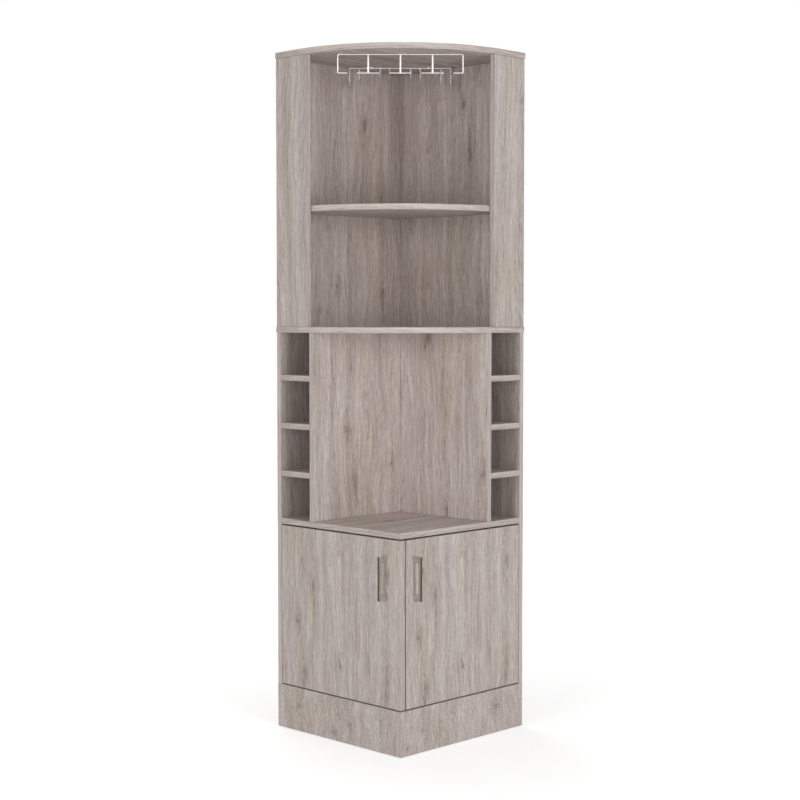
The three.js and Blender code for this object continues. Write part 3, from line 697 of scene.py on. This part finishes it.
def knot_marks(finish, place):
    """The knots of the print, each a hill and a wider hill round it, its halo. The distance
    from a knot is wrapped, so that the knot comes again after each repeat, and a noise pushes
    the places about, so that no knot is a plain oval. Gives the sum of the hills, the sum of
    the halos, and the print's places drawn apart by the halos, so that the grain parts round
    each knot."""
    lumps = finish.noise(finish.stretched(place, KNOT_LUMPS), detail=3.0, output="Color")
    push = finish.vector("MULTIPLY", finish.vector("SUBTRACT", lumps, (0.5, 0.5, 0.5)), KNOT_PUSH)
    pushed = finish.vector("ADD", place, push)
    high = (PRINT_REPEAT[0] / 2, PRINT_REPEAT[1] / 2, 1.0)
    low = tuple(-size for size in high)
    marks, halos, parted = 0.0, 0.0, place
    for across, along, half_width, half_length, tone in KNOTS:
        away = finish.vector("WRAP", finish.vector("SUBTRACT", pushed, (across, along, 0)), high, low)
        knot = hill(finish, away, half_width, half_length)
        halo = hill(finish, away, half_width * HALO_WIDER, half_length * HALO_LONGER)
        marks = finish.plus(marks, finish.times(knot, tone))
        halos = finish.plus(halos, finish.times(halo, tone))
        shift = finish.vector("MULTIPLY", finish.vector("MULTIPLY", away, halo), KNOT_PULL)
        parted = finish.vector("SUBTRACT", parted, shift)
    return marks, halos, parted


# Layers of the grain: how many to a metre across and along, how they are offset, how much
# detail, and how far each moves the tone, or for the figure the rings
BANDS = ((34, 1.3), (0.0, 0.0), 3.0, 0.150)
STREAKS = ((150, 7.0), (0.4, 2.2), 3.0, 0.150)
STROKES = ((310, 44), (7.7, 3.3), 2.0, 0.150)
THREADS = ((560, 16), (5.3, 1.9), 2.0, 0.080)
PORES = ((950, 90), (2.7, 4.1), 2.0, 0.16)
FINE_PORES = ((2600, 130), (9.2, 0.8), 2.0, 0.20)
FIGURE = ((6.5, 1.5), (1.3, 8.6), 1.5, 12.0)
DRIFT = ((11, 2.4), (3.1, 0.7), 2.0)
LAYER_ROUGHNESS = 0.6
# The values of a noise between which the grain goes from dark to light, bare wood becomes a
# pore, the tint goes from mauve to taupe, and the strokes lighten or deepen a knot
GRAIN_SPAN, PORE_SPAN = (0.28, 0.72), (0.54, 0.70)
DRIFT_SPAN, BREAK_SPAN = (0.33, 0.67), (0.3, 0.7)
BREAK_DEPTHS = (0.35, 1.05)
SWAYS, SWAY_OFFSET = (5, 4, 1), (6.1, 2.9, 0)
SWAY_WIDTH = 0.030
RINGS, RING_DEPTH = 70.0, 0.10
HALO_BEND, STREAK_BEND = 2.8, 0.6  # of the rings
PLAIN_TONE = 1.05
PORES_BETWEEN_RINGS = 0.4
HALO_DEPTH, HALO_WARMTH = 0.20, 0.9
MAUVE, TAUPE, KNOT = (198, 186, 182), (190, 179, 170), (98, 80, 67)
SHADE_POWERS = (0.86, 1.0, 1.03)  # of the tone in red, green and blue: dark marks are warmer
GLOSS_SPAN, GLOSS_ROUGHNESS = (0.2, 0.8), (0.52, 0.62)
PORE_BUMP = 6.0  # depth of a pore, with the height of a thread as 1


def oak_laminate(name):
    """A grey-taupe oak print, read at places that sway and that part round the knots. The tone
    is the plain tone, up or down by each layer of grain, less the rings, the pores and the
    halos. The rings are the square of a saw-tooth that runs across the grain, bent by a slow
    figure, the halos and the streaks. The tone darkens a tint that drifts between two, and
    the knots, broken by the strokes, are laid over it."""
    oak = Finish(name)
    place = oak.node("UVMap", uv_map="print").outputs[0]
    marks, halos, parted = knot_marks(oak, place)
    sway = oak.noise(oak.stretched(parted, SWAYS, SWAY_OFFSET))
    sway = oak.times(oak.less(sway, 0.5), SWAY_WIDTH)
    place = oak.vector("ADD", parted, oak.node("CombineXYZ", {0: sway}).outputs[0])

    def layer(kind):
        density, offset, detail = kind[:3]
        return oak.noise(oak.stretched(place, (*density, 1), (*offset, 0)), detail, LAYER_ROUGHNESS)

    bands, streaks, strokes, threads = (layer(kind) for kind in (BANDS, STREAKS, STROKES, THREADS))
    tone = PLAIN_TONE
    for level, kind in ((bands, BANDS), (streaks, STREAKS), (strokes, STROKES), (threads, THREADS)):
        tone = oak.plus(tone, oak.times(oak.between(level, *GRAIN_SPAN, -1, 1), kind[3]))

    field = oak.times(oak.node("SeparateXYZ", {0: place}).outputs[0], RINGS)
    for bend, amount in ((layer(FIGURE), FIGURE[3]), (halos, HALO_BEND), (streaks, STREAK_BEND)):
        field = oak.plus(field, oak.times(bend, amount))
    saw = oak.math("FRACT", field)
    ring = oak.times(saw, saw)
    pores = 0.0
    for kind in (PORES, FINE_PORES):
        pores = oak.plus(pores, oak.times(oak.between(layer(kind), *PORE_SPAN), kind[3]))
    pores = oak.times(pores, oak.plus(PORES_BETWEEN_RINGS, ring))
    tone = oak.less(oak.less(tone, oak.times(ring, RING_DEPTH)), pores)
    tone = oak.less(tone, oak.times(halos, HALO_DEPTH))

    drift = oak.between(layer(DRIFT), *DRIFT_SPAN)
    warm = oak.plus(drift, oak.times(halos, HALO_WARMTH), clamp=True)
    shade = [oak.math("POWER", tone, power) for power in SHADE_POWERS]
    shade = oak.node("CombineColor", dict(enumerate(shade))).outputs[0]
    wood = oak.mix(1.0, oak.mix(warm, colour(*MAUVE), colour(*TAUPE)), shade, blend="MULTIPLY")
    broken = oak.times(marks, oak.between(strokes, *BREAK_SPAN, *BREAK_DEPTHS), clamp=True)
    oak.set(base_color=oak.mix(broken, wood, colour(*KNOT)),
            roughness=oak.between(threads, *GLOSS_SPAN, *GLOSS_ROUGHNESS))
    oak.shader.inputs["Specular IOR Level"].default_value = 0.30
    oak.bump(oak.less(threads, oak.times(pores, PORE_BUMP)), strength=0.25, distance=0.00012)
    return oak.material


CHIPS, GRIT = 700.0, (1500, 1500, 1500)  # to a metre
PALE_CHIP, DARK_CHIP = (186, 160, 124), (128, 104, 76)


def chipboard():
    """The core of a board, where a bore shows it: pale chips in a darker ground."""
    core = Finish("chipboard_core")
    place = core.node("TexCoord").outputs["Object"]
    chips = core.node("TexVoronoi", {"Vector": place, "Scale": CHIPS}).outputs["Color"]
    chip = core.node("SeparateColor", {0: chips}).outputs[0]
    core.set(base_color=core.mix(chip, colour(*DARK_CHIP), colour(*PALE_CHIP)), roughness=0.85)
    core.bump(core.noise(core.stretched(place, GRIT), flat=False), strength=0.6, distance=0.0003)
    return core.material


FILM_CLOUDS = (60, 60, 60)  # to a metre
FILM_SPAN, MARK_SPAN = (0.35, 0.7), (0.25, 0.75)  # of their noises


def metal(name, tint, rough, marks, contrast, film):
    """Plated metal: fine marks, so many to a metre along each axis, make it rougher and
    smoother by the share `contrast`, and a cloudy film darkens it by up to the share `film`."""
    plate = Finish(name)
    place = plate.node("TexCoord").outputs["Object"]
    lines = plate.noise(plate.stretched(place, marks), flat=False)
    clouds = plate.noise(plate.stretched(place, FILM_CLOUDS), detail=3.0, flat=False)
    dull = (*(channel * (1 - film) for channel in tint[:3]), 1.0)
    plate.set(metallic=1.0, base_color=plate.mix(plate.between(clouds, *FILM_SPAN), tint, dull),
              roughness=plate.between(lines, *MARK_SPAN, rough * (1 - contrast), rough * (1 + contrast)))
    plate.bump(lines, strength=0.12, distance=0.00004)
    return plate.material


OAK = oak_laminate("oak_laminate")
CORE = chipboard()
BRUSHED = (900, 900, 40)
NICKEL = metal("satin_nickel", colour(208, 205, 200), 0.30, BRUSHED, contrast=0.25, film=0.08)
# A darker copy of the satin nickel for the front face of the handle's grip: painted shade and reflection
PAINTED_SHADE_NICKEL = metal("painted_shade_nickel", colour(88, 80, 73), 0.36, BRUSHED, contrast=0.25, film=0.10)
PLATING = metal("hinge_plating", colour(214, 215, 217), 0.22, (500, 500, 500), contrast=0.30, film=0.12)
ZINC = metal("zinc_plate", colour(190, 191, 188), 0.36, (400, 400, 400), contrast=0.30, film=0.22)
CHROME = metal("bright_chrome", colour(244, 244, 245), 0.30, (300, 300, 300), contrast=0.30, film=0.03)

# First and second finish of the pieces in each slot
FINISHES = {
    "oak_laminate": (OAK, CORE), "satin_nickel": (NICKEL, PAINTED_SHADE_NICKEL), "hinge_plating": (PLATING,),
    "zinc_steel": (ZINC,), "rack_chrome": (CHROME,),
}


# Boards

def oak_board(node, axes, corners, low, high, body="cabinet", print_place=None, **settings):
    skin = slab(corners, low, high, print_place=print_place or PRINT_PLACES[node], **settings)
    make_piece("oak_" + node, skin.placed(axes), "oak_laminate", body, node)


def front_board(node, hand, *rest, **settings):
    axes = to_hand(STANDS_ON_LEFT_FRONT, hand)
    oak_board(node, axes, *rest, mirrored=hand == "left", **settings)


def side_board(node, hand, *rest, **settings):
    axes = to_hand(STANDS_ON_RIGHT_FRONT, hand)
    oak_board(node, axes, *rest, mirrored=hand == "right", **settings)


def round_front(low, high, radius):
    return [(low, low, FRONT_RADIUS, FRONT_STEPS), (high, low, radius), (high, high, radius),
            (low, high, radius)]


def lower_side(end):
    """The outline of a lower side panel, notched where the plinth passes its foot."""
    r = EDGE_RADIUS
    foot, step = board + SEAM, plinth_top + SEAM
    top = middle_low - SEAM
    return [(foot, 0, r), (end, 0, r), (end, top, r), (0, top, r), (0, step, r), (foot, step, r)]


# The cam locks of the left half, under the base panel and the counter beside the left side
# panels, and in the outer faces of those panels: the place of each, the way out of its bore,
# and the way that its bolt goes
UNDER_CAMS = [((x, inner - CAM_SETBACK, face), -Z, Y)
              for x in (CAM_INSET, side - CAM_INSET) for face in (base_low, counter_low)]
OUTER_CAMS = [((side / 2, side, middle_low - CAM_SETBACK), Y, Z),
              ((side / 2 + CAM_STAGGER, side, middle_high + CAM_SETBACK), Y, -Z),
              ((side / 2, side, top_low - CAM_SETBACK), Y, Z)]


def underside_bores(face):
    return [(*spot_to_hand(place, hand)[:2], CAM_BORE, CAM_DEPTH, False)
            for hand in HANDS for place, *_ in UNDER_CAMS if place[2] == face]


def build_panels():
    """The level boards: two with square corners, and three with a round front."""
    r = EDGE_RADIUS
    start, end = board + SEAM, inner - SEAM
    oak_board("base_panel", LIES, box_corners(start, start, end, end, r), base_low, base_high,
              holes=underside_bores(base_low), grain=0)
    oak_board("counter_panel", LIES, box_corners(0, 0, end, end, r), counter_low, counter_high,
              holes=underside_bores(counter_low), grain=0)
    outer = round_front(-overhang, side + overhang, PANEL_CORNER)
    for node, corners, low, high in (
            ("middle_panel", outer, middle_low, middle_high),
            ("top_panel", outer, top_low, top_high),
            ("upper_shelf", round_front(start, end, r), shelf_low, shelf_high)):
        oak_board(node, LIES, corners, low, high, grain=0, tape=PAINTED_LIGHT_TAPE)


def build_uprights(hand):
    """The upright boards of one half. The right plinth board runs through to the front corner,
    and the left side panels and the left partition run through to the corner behind."""
    r, left = EDGE_RADIUS, hand == "left"
    start = board + SEAM if left else 0
    front_board(f"plinth_board_{hand}", hand, box_corners(start, 0, side, plinth_top, r), 0, board,
                squeeze=PLINTH_SQUEEZE)
    end = side if left else inner - SEAM
    bores = [(x, z, CAM_BORE, CAM_DEPTH, True) for (x, _, z), *_ in OUTER_CAMS]
    side_board(f"side_panel_lower_{hand}", hand, lower_side(end), inner, side, holes=bores[:1])
    low, high = middle_high + SEAM, top_low - SEAM
    side_board(f"side_panel_upper_{hand}", hand, box_corners(board + SEAM, low, end, high, r),
               inner, side, holes=bores[1:])
    front_board(f"stile_{hand}", hand, box_corners(stile_start, low, side, high, r), 0, board)
    end = partition_back if left else niche - SEAM
    low, high = counter_high + SEAM, middle_low - SEAM
    side_board(f"partition_{hand}", hand, box_corners(0, low, end, high, r), niche, partition_back)


def build_bottle_shelves(hand):
    """Three short shelves, the left ones of which run through to the corner behind."""
    axes, end = (LIES, inner - SEAM) if hand == "left" else (LIES_CHANGED_OVER, partition_back)
    corners = box_corners(0, partition_back + SEAM, end, inner - SEAM, EDGE_RADIUS)
    across, along = SHELF_PRINT_STEP
    for number in (1, 2, 3):
        node = f"bottle_shelf_{hand}_{number}"
        low, high = measured(node)
        oak_board(node, axes, corners, low[2], high[2], grain=0,
                  print_place=(across * number, along * number))


def build_door(hand):
    """A door, its print starting at the hinge edge on the left and at the corner on the right,
    with the bores of its two hinge cups. The right one stops short of the left one's back, by
    a little more than its solid does."""
    low, high = measured(f"door_{hand}")
    start, end = (low[1], high[1]) if hand == "left" else (low[0] + CORNER_RELIEF, high[0])
    bores = [(inner - CUP_PLACE, hinge_height(hand, level), CUP_RADIUS + SEAM,
              board - CUP_FRONT + SEAM, True) for level in LEVELS]
    front_board(f"door_{hand}", hand, box_corners(start, low[2], end, high[2], EDGE_RADIUS), 0, board,
                body=f"{hand}_door", holes=bores, print_place=(end if hand == "left" else 0, -low[2]))


# Fittings

def handle(hand):
    """A bow handle, its outline seen from the side and carried through its width, and its two
    screws. The front face of the grip has the second finish, a darker copy of the nickel that is
    painted shade and reflection."""
    node, body = f"handle_{hand}", f"{hand}_door"
    low, high = measured(node)
    sideways = 1 if hand == "left" else 0
    outer, door_face = low[1 - sideways], high[1 - sideways]
    grip_back = outer + HANDLE_GRIP
    foot_low, foot_high = low[2] + HANDLE_FOOT, high[2] - HANDLE_FOOT
    low, high = low - HANDLE_SPARE, high + HANDLE_SPARE
    corners = [
        (door_face, low[2], HANDLE_EDGE), (door_face, foot_low, HANDLE_EDGE),
        (grip_back, foot_low, HANDLE_INNER_RADIUS), (grip_back, foot_high, HANDLE_INNER_RADIUS),
        (door_face, foot_high, HANDLE_EDGE), (door_face, high[2], HANDLE_EDGE),
        (outer, high[2], HANDLE_EDGE), (outer, low[2], HANDLE_EDGE)]
    skin = slab(corners, low[sideways], high[sideways], rounding=HANDLE_EDGE, faced=len(corners) - 2)
    skin.placed(to_hand(STANDS_ON_RIGHT_FRONT, hand))
    make_piece(f"bow_{node}", skin, "satin_nickel", body, node)
    for level in LEVELS:
        node = f"handle_screw_{hand}_{level}"
        low, high = measured(node)
        middle = (low + high) / 2
        spot = spot_to_hand((board + SEAM, middle[sideways], middle[2]), hand)
        skin = screw(HANDLE_SCREW).placed(to_hand((Z, Y, X), hand), spot)
        make_piece(f"pan_head_{hand}_{level}", skin, "zinc_steel", body, node)


def hinge_height(hand, level):
    low, high = measured(f"hinge_pin_{hand}_{level}")
    return (low[2] + high[2]) / 2


def hinge(hand, level):
    """One concealed hinge: cup, pin, arm, mounting plate and the screw between the two. The
    pin reaches to the middle of the cup's wall on both sides, by the square root of the
    radius squared less its distance from the middle of the cup squared."""
    place, door = f"{hand}_{level}", f"{hand}_door"
    origin = spot_to_hand((0, inner, hinge_height(hand, level)), hand)
    ways = to_hand((Z, -Y, X), hand)
    half = math.sqrt((CUP_RADIUS - CUP_WALL / 2) ** 2 - (CUP_PLACE - PIN_AWAY) ** 2)
    clamp = screw(ARM_SCREW).placed((X, Z, Y), (0, ARM_HIGH, ARM_SCREW_DEEP))
    for name, skin, slot, body, node in (
            ("cup", hinge_cup(), "hinge_plating", door, "hinge_cup"),
            ("rivet", hinge_bar(half, PIN_RADIUS), "zinc_steel", door, "hinge_pin"),
            ("arm", hinge_arm(), "hinge_plating", "cabinet", "hinge_arm"),
            ("plate", hinge_plate(), "hinge_plating", "cabinet", "hinge_plate"),
            ("arm_clamp", clamp, "zinc_steel", "cabinet", "hinge_arm_screw")):
        make_piece(f"{name}_{place}", skin.placed(ways, origin), slot, body, f"{node}_{place}")


def hinge_bar(half, radius):
    """A round bar on the axis of the hinge."""
    return straight_wire((-half, PIN_AWAY, PIN_DEEP), (half, PIN_AWAY, PIN_DEEP), radius)


def hinge_cup():
    """A pressed bowl, a flange with two ears laid over its rim, and two screws. The bend
    between floor and wall goes out by its radius times the sine of an angle and up by its
    radius less its radius times the cosine, and inside the other way round."""
    r, wall, floor, bend = CUP_RADIUS, CUP_WALL, CUP_FRONT + CUP_WALL, CUP_BEND
    angles = np.linspace(0, math.pi / 2, CUP_STEPS)
    outside = [(r - bend + bend * math.sin(a), CUP_FRONT + bend - bend * math.cos(a)) for a in angles]
    inside = [(r - wall - bend + bend * math.cos(a), floor + bend - bend * math.sin(a)) for a in angles]
    rim_high = FLANGE_HIGH - FLANGE_LAP
    profile = [(0, CUP_FRONT), *outside, (r, rim_high), (r - wall, rim_high), *inside, (0, floor)]
    bowl = turned(profile[::-1]).placed((X, Y, Z), (0, CUP_PLACE, 0))

    rim = r + FLANGE_MARGIN
    near, far = EAR_PLACE - EAR_WIDTH / 2, EAR_PLACE + EAR_WIDTH / 2
    corners = both_sides([
        (rim, CUP_PLACE - rim, rim * FLANGE_ROUND), (rim, near, WAIST_RADIUS),
        (EAR_REACH, near, EAR_RADIUS), (EAR_REACH, far, EAR_RADIUS),
        (rim * NOSE_FOOT, far, WAIST_RADIUS), (rim * NOSE_TIP, CUP_PLACE + rim, NOSE_RADIUS)])
    flange = slab(corners, FLANGE_LOW, FLANGE_HIGH, rounding=SHEET_EDGE,
                  holes=[(0, CUP_PLACE, r - wall / 2, None, True)])
    screws = [screw(CUP_SCREW).placed((X, Y, Z), (spot, EAR_PLACE, FLANGE_HIGH))
              for spot in (-CUP_SCREW_PLACE, CUP_SCREW_PLACE)]
    return bowl.joined(flange, *screws)


def hinge_arm():
    """A strip bent from the pin round the edge of the door, a knuckle on the pin, and a
    channel with a rounded back over the mounting plate."""
    half, middle = ARM_WIDTH / 2, ARM_HIGH - ARM_SHEET / 2
    line = bent([
        (0, PIN_AWAY, PIN_DEEP), (0, NECK_AWAY, PIN_DEEP + NECK_RISE), (0, NECK_AWAY, ARM_FRONT),
        (0, middle, ARM_FRONT), (0, middle, ARM_FRONT + NECK_LAP)], NECK_BEND)
    neck = swept(box_corners(-half, -ARM_SHEET / 2, half, ARM_SHEET / 2, NECK_EDGE), line, X)
    inside, web = half - ARM_WALL, ARM_HIGH - ARM_SHEET
    corners = both_sides([(inside, web, SHEET_EDGE), (inside, ARM_LOW, SHEET_EDGE),
                          (half, ARM_LOW, SHEET_EDGE), (half, ARM_HIGH, ARM_BACK_RADIUS)])
    channel = slab(corners, ARM_FRONT, ARM_BACK, rounding=SHEET_EDGE)
    return neck.joined(hinge_bar(half, KNUCKLE_RADIUS), channel)


def hinge_plate():
    """A base with a ridge, two round-ended wings, and a screw through each wing."""
    plate = Skin()
    for half, front, back, high, radius in (
            (ARM_WIDTH / 2, PLATE_FRONT, PLATE_BACK, PLATE_HIGH, PLATE_CORNER),
            (RIDGE_HALF, PLATE_FRONT, PLATE_BACK, RIDGE_HIGH, RIDGE_CORNER),
            (WING_REACH, WING_FRONT, WING_BACK, WING_HIGH, WING_CORNER)):
        corners = box_corners(-half, front, half, back, radius)
        plate.joined(slab(corners, SEAM, high, rounding=SHEET_EDGE).placed((X, Z, Y)))
    middle = (WING_FRONT + WING_BACK) / 2
    for spot in (-PLATE_SCREW_PLACE, PLATE_SCREW_PLACE):
        plate.joined(screw(PLATE_SCREW).placed((X, Z, Y), (spot, WING_HIGH, middle)))
    return plate


def cam_lock(number, hand, spot):
    """A round cam set flush in its bore, and the bolt that it draws up."""
    place, out, bolt = (np.array(spot_to_hand(part, hand), float) for part in spot)
    aside = np.cross(bolt, out)
    radius, depth = CAM_BORE - CAM_CLEARANCE, CAM_DEPTH - CAM_CLEARANCE
    face = [(r, -CAM_CLEARANCE) for r in np.linspace(0, radius * CAM_FACE, CAM_STEPS)]
    rim = [(radius, -2 * CAM_CLEARANCE), (radius, -depth), (0, -depth)]
    cross = cross_slot(radius * CAM_CROSS[0], radius * CAM_CROSS[1], CAM_CROSS_DEPTH)
    cam = turned(face + rim, dip=cross).placed((aside, bolt, out), place)
    make_piece(f"cam_lock_{hand}_{number}", cam, "zinc_steel")

    neck, start, end = BOLT_RADIUS * BOLT_NECK, radius + BOLT_START, CAM_SETBACK + BOLT_DEPTH
    profile = [(0, end), (neck, end), (BOLT_RADIUS, end - BOLT_TAPER), (BOLT_RADIUS, CAM_SETBACK),
               (neck, CAM_SETBACK - BOLT_TAPER), (neck, start), (0, start)]
    shank = turned(profile, sides=ROUND_SIDES).placed((aside, out, bolt), place - out * board / 2)
    make_piece(f"cam_bolt_{hand}_{number}", shank, "zinc_steel")


def build_rack():
    """The wire rack: a front frame, a loop of two rails between each two slots, a rear wire,
    and tabs with screws up into the top panel."""
    top = top_low - SEAM - WIRE_RADIUS
    bottom = top - RACK_HEIGHT
    upright_top = top - WIRE_RADIUS - SEAM
    back, front = RACK_BACK, RACK_BACK - RACK_LENGTH
    half = RACK_PITCH * (SLOT_COUNT - 1) / 2 + RACK_END_MARGIN
    rail = RACK_PITCH * (SLOT_COUNT - 1) / 2 + SLOT_WIDTH / 2
    front_tab = half - FRONT_TAB_INSET
    tab_high = top_low - SEAM
    tab_low = tab_high - TAB_SHEET

    def fit(name, skin, slot, node):
        skin.placed((TO_RIGHT, TO_BACK, Z), (side / 2, side / 2, 0))
        make_piece(name, skin, slot, replaced=f"glass_rack_{node}")

    def tab(x, y, toward):
        near, far = sorted((y, y + toward * (WIRE_RADIUS + TAB_DEPTH)))
        corners = box_corners(x - TAB_LENGTH / 2, near, x + TAB_LENGTH / 2, far, TAB_CORNER)
        return slab(corners, tab_low, tab_high, rounding=SHEET_EDGE)

    corners = both_sides([(-rail, back, upright_top), (-rail, back, bottom), (-rail, front, bottom),
                          (-half, front, bottom), (-half, front, top)])
    front_wire = round_wire(bent(corners, WIRE_BEND), WIRE_RADIUS)
    overlap = rail + WIRE_RADIUS
    rear_wire = straight_wire((-overlap, back, top), (overlap, back, top), WIRE_RADIUS)
    for end, wire, node, tabs in (
            ("front", front_wire, "frame_wire", ((-front_tab, front, 1), (front_tab, front, 1))),
            ("rear", rear_wire, "rear_wire", ((-RACK_PITCH, back, -1), (RACK_PITCH, back, -1)))):
        wire.joined(*(tab(*place) for place in tabs))
        fit(f"rack_{end}", wire, "rack_chrome", node)
        for hand, (x, y, toward) in zip(HANDS, tabs):
            seat = (x, y + toward * (WIRE_RADIUS + TAB_DEPTH / 2), tab_low)
            skin = screw(TAB_SCREW).placed((X, -Y, -Z), seat)
            fit(f"tab_screw_{end}_{hand}", skin, "zinc_steel", f"screw_{end}_{hand}")

    reach = (RACK_PITCH - SLOT_WIDTH) / 2
    corners = both_sides([(-reach, back, upright_top), (-reach, back, bottom), (-reach, front, bottom)])
    for number in range(1, SLOT_COUNT):
        x = RACK_PITCH * (number - SLOT_COUNT / 2)
        loop = round_wire(bent(np.array(corners) + (x, 0, 0), WIRE_BEND), WIRE_RADIUS)
        post = straight_wire((x, front, bottom), (x, front, upright_top), POST_RADIUS)
        fit(f"rack_loop_{number}", loop.joined(post), "rack_chrome", f"loop_{number}")


# Stage

CAMERA_HEIGHT = 1.108
CAMERA_AWAY = 4.3577  # from the middle of the plan, along its diagonal
CAMERA_ASIDE = -0.0146
CAMERA_TILT = math.radians(2.989)
CAMERA_TURN = math.radians(0.182)  # to the right of the diagonal
LENS, SENSOR = 73.38, 36.0
PLAN_MIDDLE = corner + np.array([side / 2, side / 2, 0])

# Lamps: place and target to the right, back and up from the middle of the plan, size, power
SOFTBOXES = (
    ("key_right", (2.2, -3.2, 1.2), (0, 0, 1.0), (1.6, 1.8), 50),
    ("key_left", (-2.2, -3.2, 1.2), (0, 0, 1.0), (1.6, 1.8), 38),
    ("rear_fill", (-1.5, 3.4, 2.2), (0, 0, 0.9), (2.6, 2.2), 40),
)
AMBIENT = 0.40
FLOOR_REACH, FLOOR_DROP = 12.0, 0.0006
FLOOR_TINT = (0.86, 0.86, 0.86, 1)
GLOW_NEAR, GLOW_FAR = (0.4, 0.44), (2.2, 0.63)  # distance from the middle, and strength


def stage_place(right, back, up):
    """A place given from the middle of the plan, square to the view."""
    return Vector(PLAN_MIDDLE + right * TO_RIGHT + back * TO_BACK + up * Z)


def add_camera():
    camera = bpy.data.objects.new("camera", bpy.data.cameras.new("camera"))
    bpy.context.scene.collection.objects.link(camera)
    camera.data.lens, camera.data.sensor_width = LENS, SENSOR
    camera.location = stage_place(CAMERA_ASIDE, -CAMERA_AWAY, CAMERA_HEIGHT)
    aim = (math.sin(CAMERA_TURN) * TO_RIGHT + math.cos(CAMERA_TURN) * TO_BACK) * math.cos(CAMERA_TILT)
    aim[2] = -math.sin(CAMERA_TILT)
    camera.rotation_mode = "QUATERNION"
    camera.rotation_quaternion = Vector(aim).to_track_quat("-Z", "Y")
    bpy.context.scene.camera = camera


def add_softbox(name, place, target, size, power):
    lamp = bpy.data.objects.new(name, bpy.data.lights.new(name, "AREA"))
    bpy.context.scene.collection.objects.link(lamp)
    lamp.data.shape = "RECTANGLE"
    lamp.data.size, lamp.data.size_y = size
    lamp.data.energy = power
    lamp.location = stage_place(*place)
    lamp.rotation_mode = "QUATERNION"
    aim = stage_place(*target) - stage_place(*place)
    lamp.rotation_quaternion = aim.to_track_quat("-Z", "Y")


def add_world():
    """White where it is seen, directly or in something shiny, and a soft grey as light."""
    world = bpy.data.worlds.new("studio")
    bpy.context.scene.world = world
    world.use_nodes = True
    nodes = Nodes(world.node_tree)
    background = world.node_tree.nodes["Background"].inputs
    nodes.feed(background["Color"], (1, 1, 1, 1))
    nodes.feed(background["Strength"], nodes.between(nodes.seen(), 0, 1, AMBIENT, 1))


def add_floor():
    """A pale floor that looks white in open light and keeps the shadow of the cabinet. Its
    glow, which lights nothing, grows away from the cabinet, where the lamps reach less."""
    mesh, reach = bpy.data.meshes.new("floor"), FLOOR_REACH
    mesh.from_pydata(box_corners(-reach, -reach, reach, reach, -FLOOR_DROP), [], [(0, 1, 2, 3)])
    floor = bpy.data.objects.new("floor", mesh)
    bpy.context.scene.collection.objects.link(floor)
    pale = Finish("pale_floor")
    pale.set(base_color=FLOOR_TINT, roughness=0.9)
    away = pale.vector("DISTANCE", pale.node("TexCoord").outputs["Object"], tuple(PLAN_MIDDLE))
    (near, weak), (far, strong) = GLOW_NEAR, GLOW_FAR
    level = pale.between(away, near, far, weak, strong)
    glow = pale.node("Emission", {"Strength": pale.times(pale.seen(), level)})
    both = pale.node("AddShader", {0: pale.shader.outputs[0], 1: glow.outputs[0]})
    pale.feed(pale.tree.nodes["Material Output"].inputs[0], both.outputs[0])
    mesh.materials.append(pale.material)


add_camera()
add_world()
add_floor()
for softbox in SOFTBOXES:
    add_softbox(*softbox)

build_panels()
for hand in HANDS:
    build_uprights(hand)
    build_bottle_shelves(hand)
    build_door(hand)
    handle(hand)
    for level in LEVELS:
        hinge(hand, level)
    for number, spot in enumerate(UNDER_CAMS + OUTER_CAMS, 1):
        cam_lock(number, hand, spot)
build_rack()

bpy.context.scene.view_settings.view_transform = "Standard"
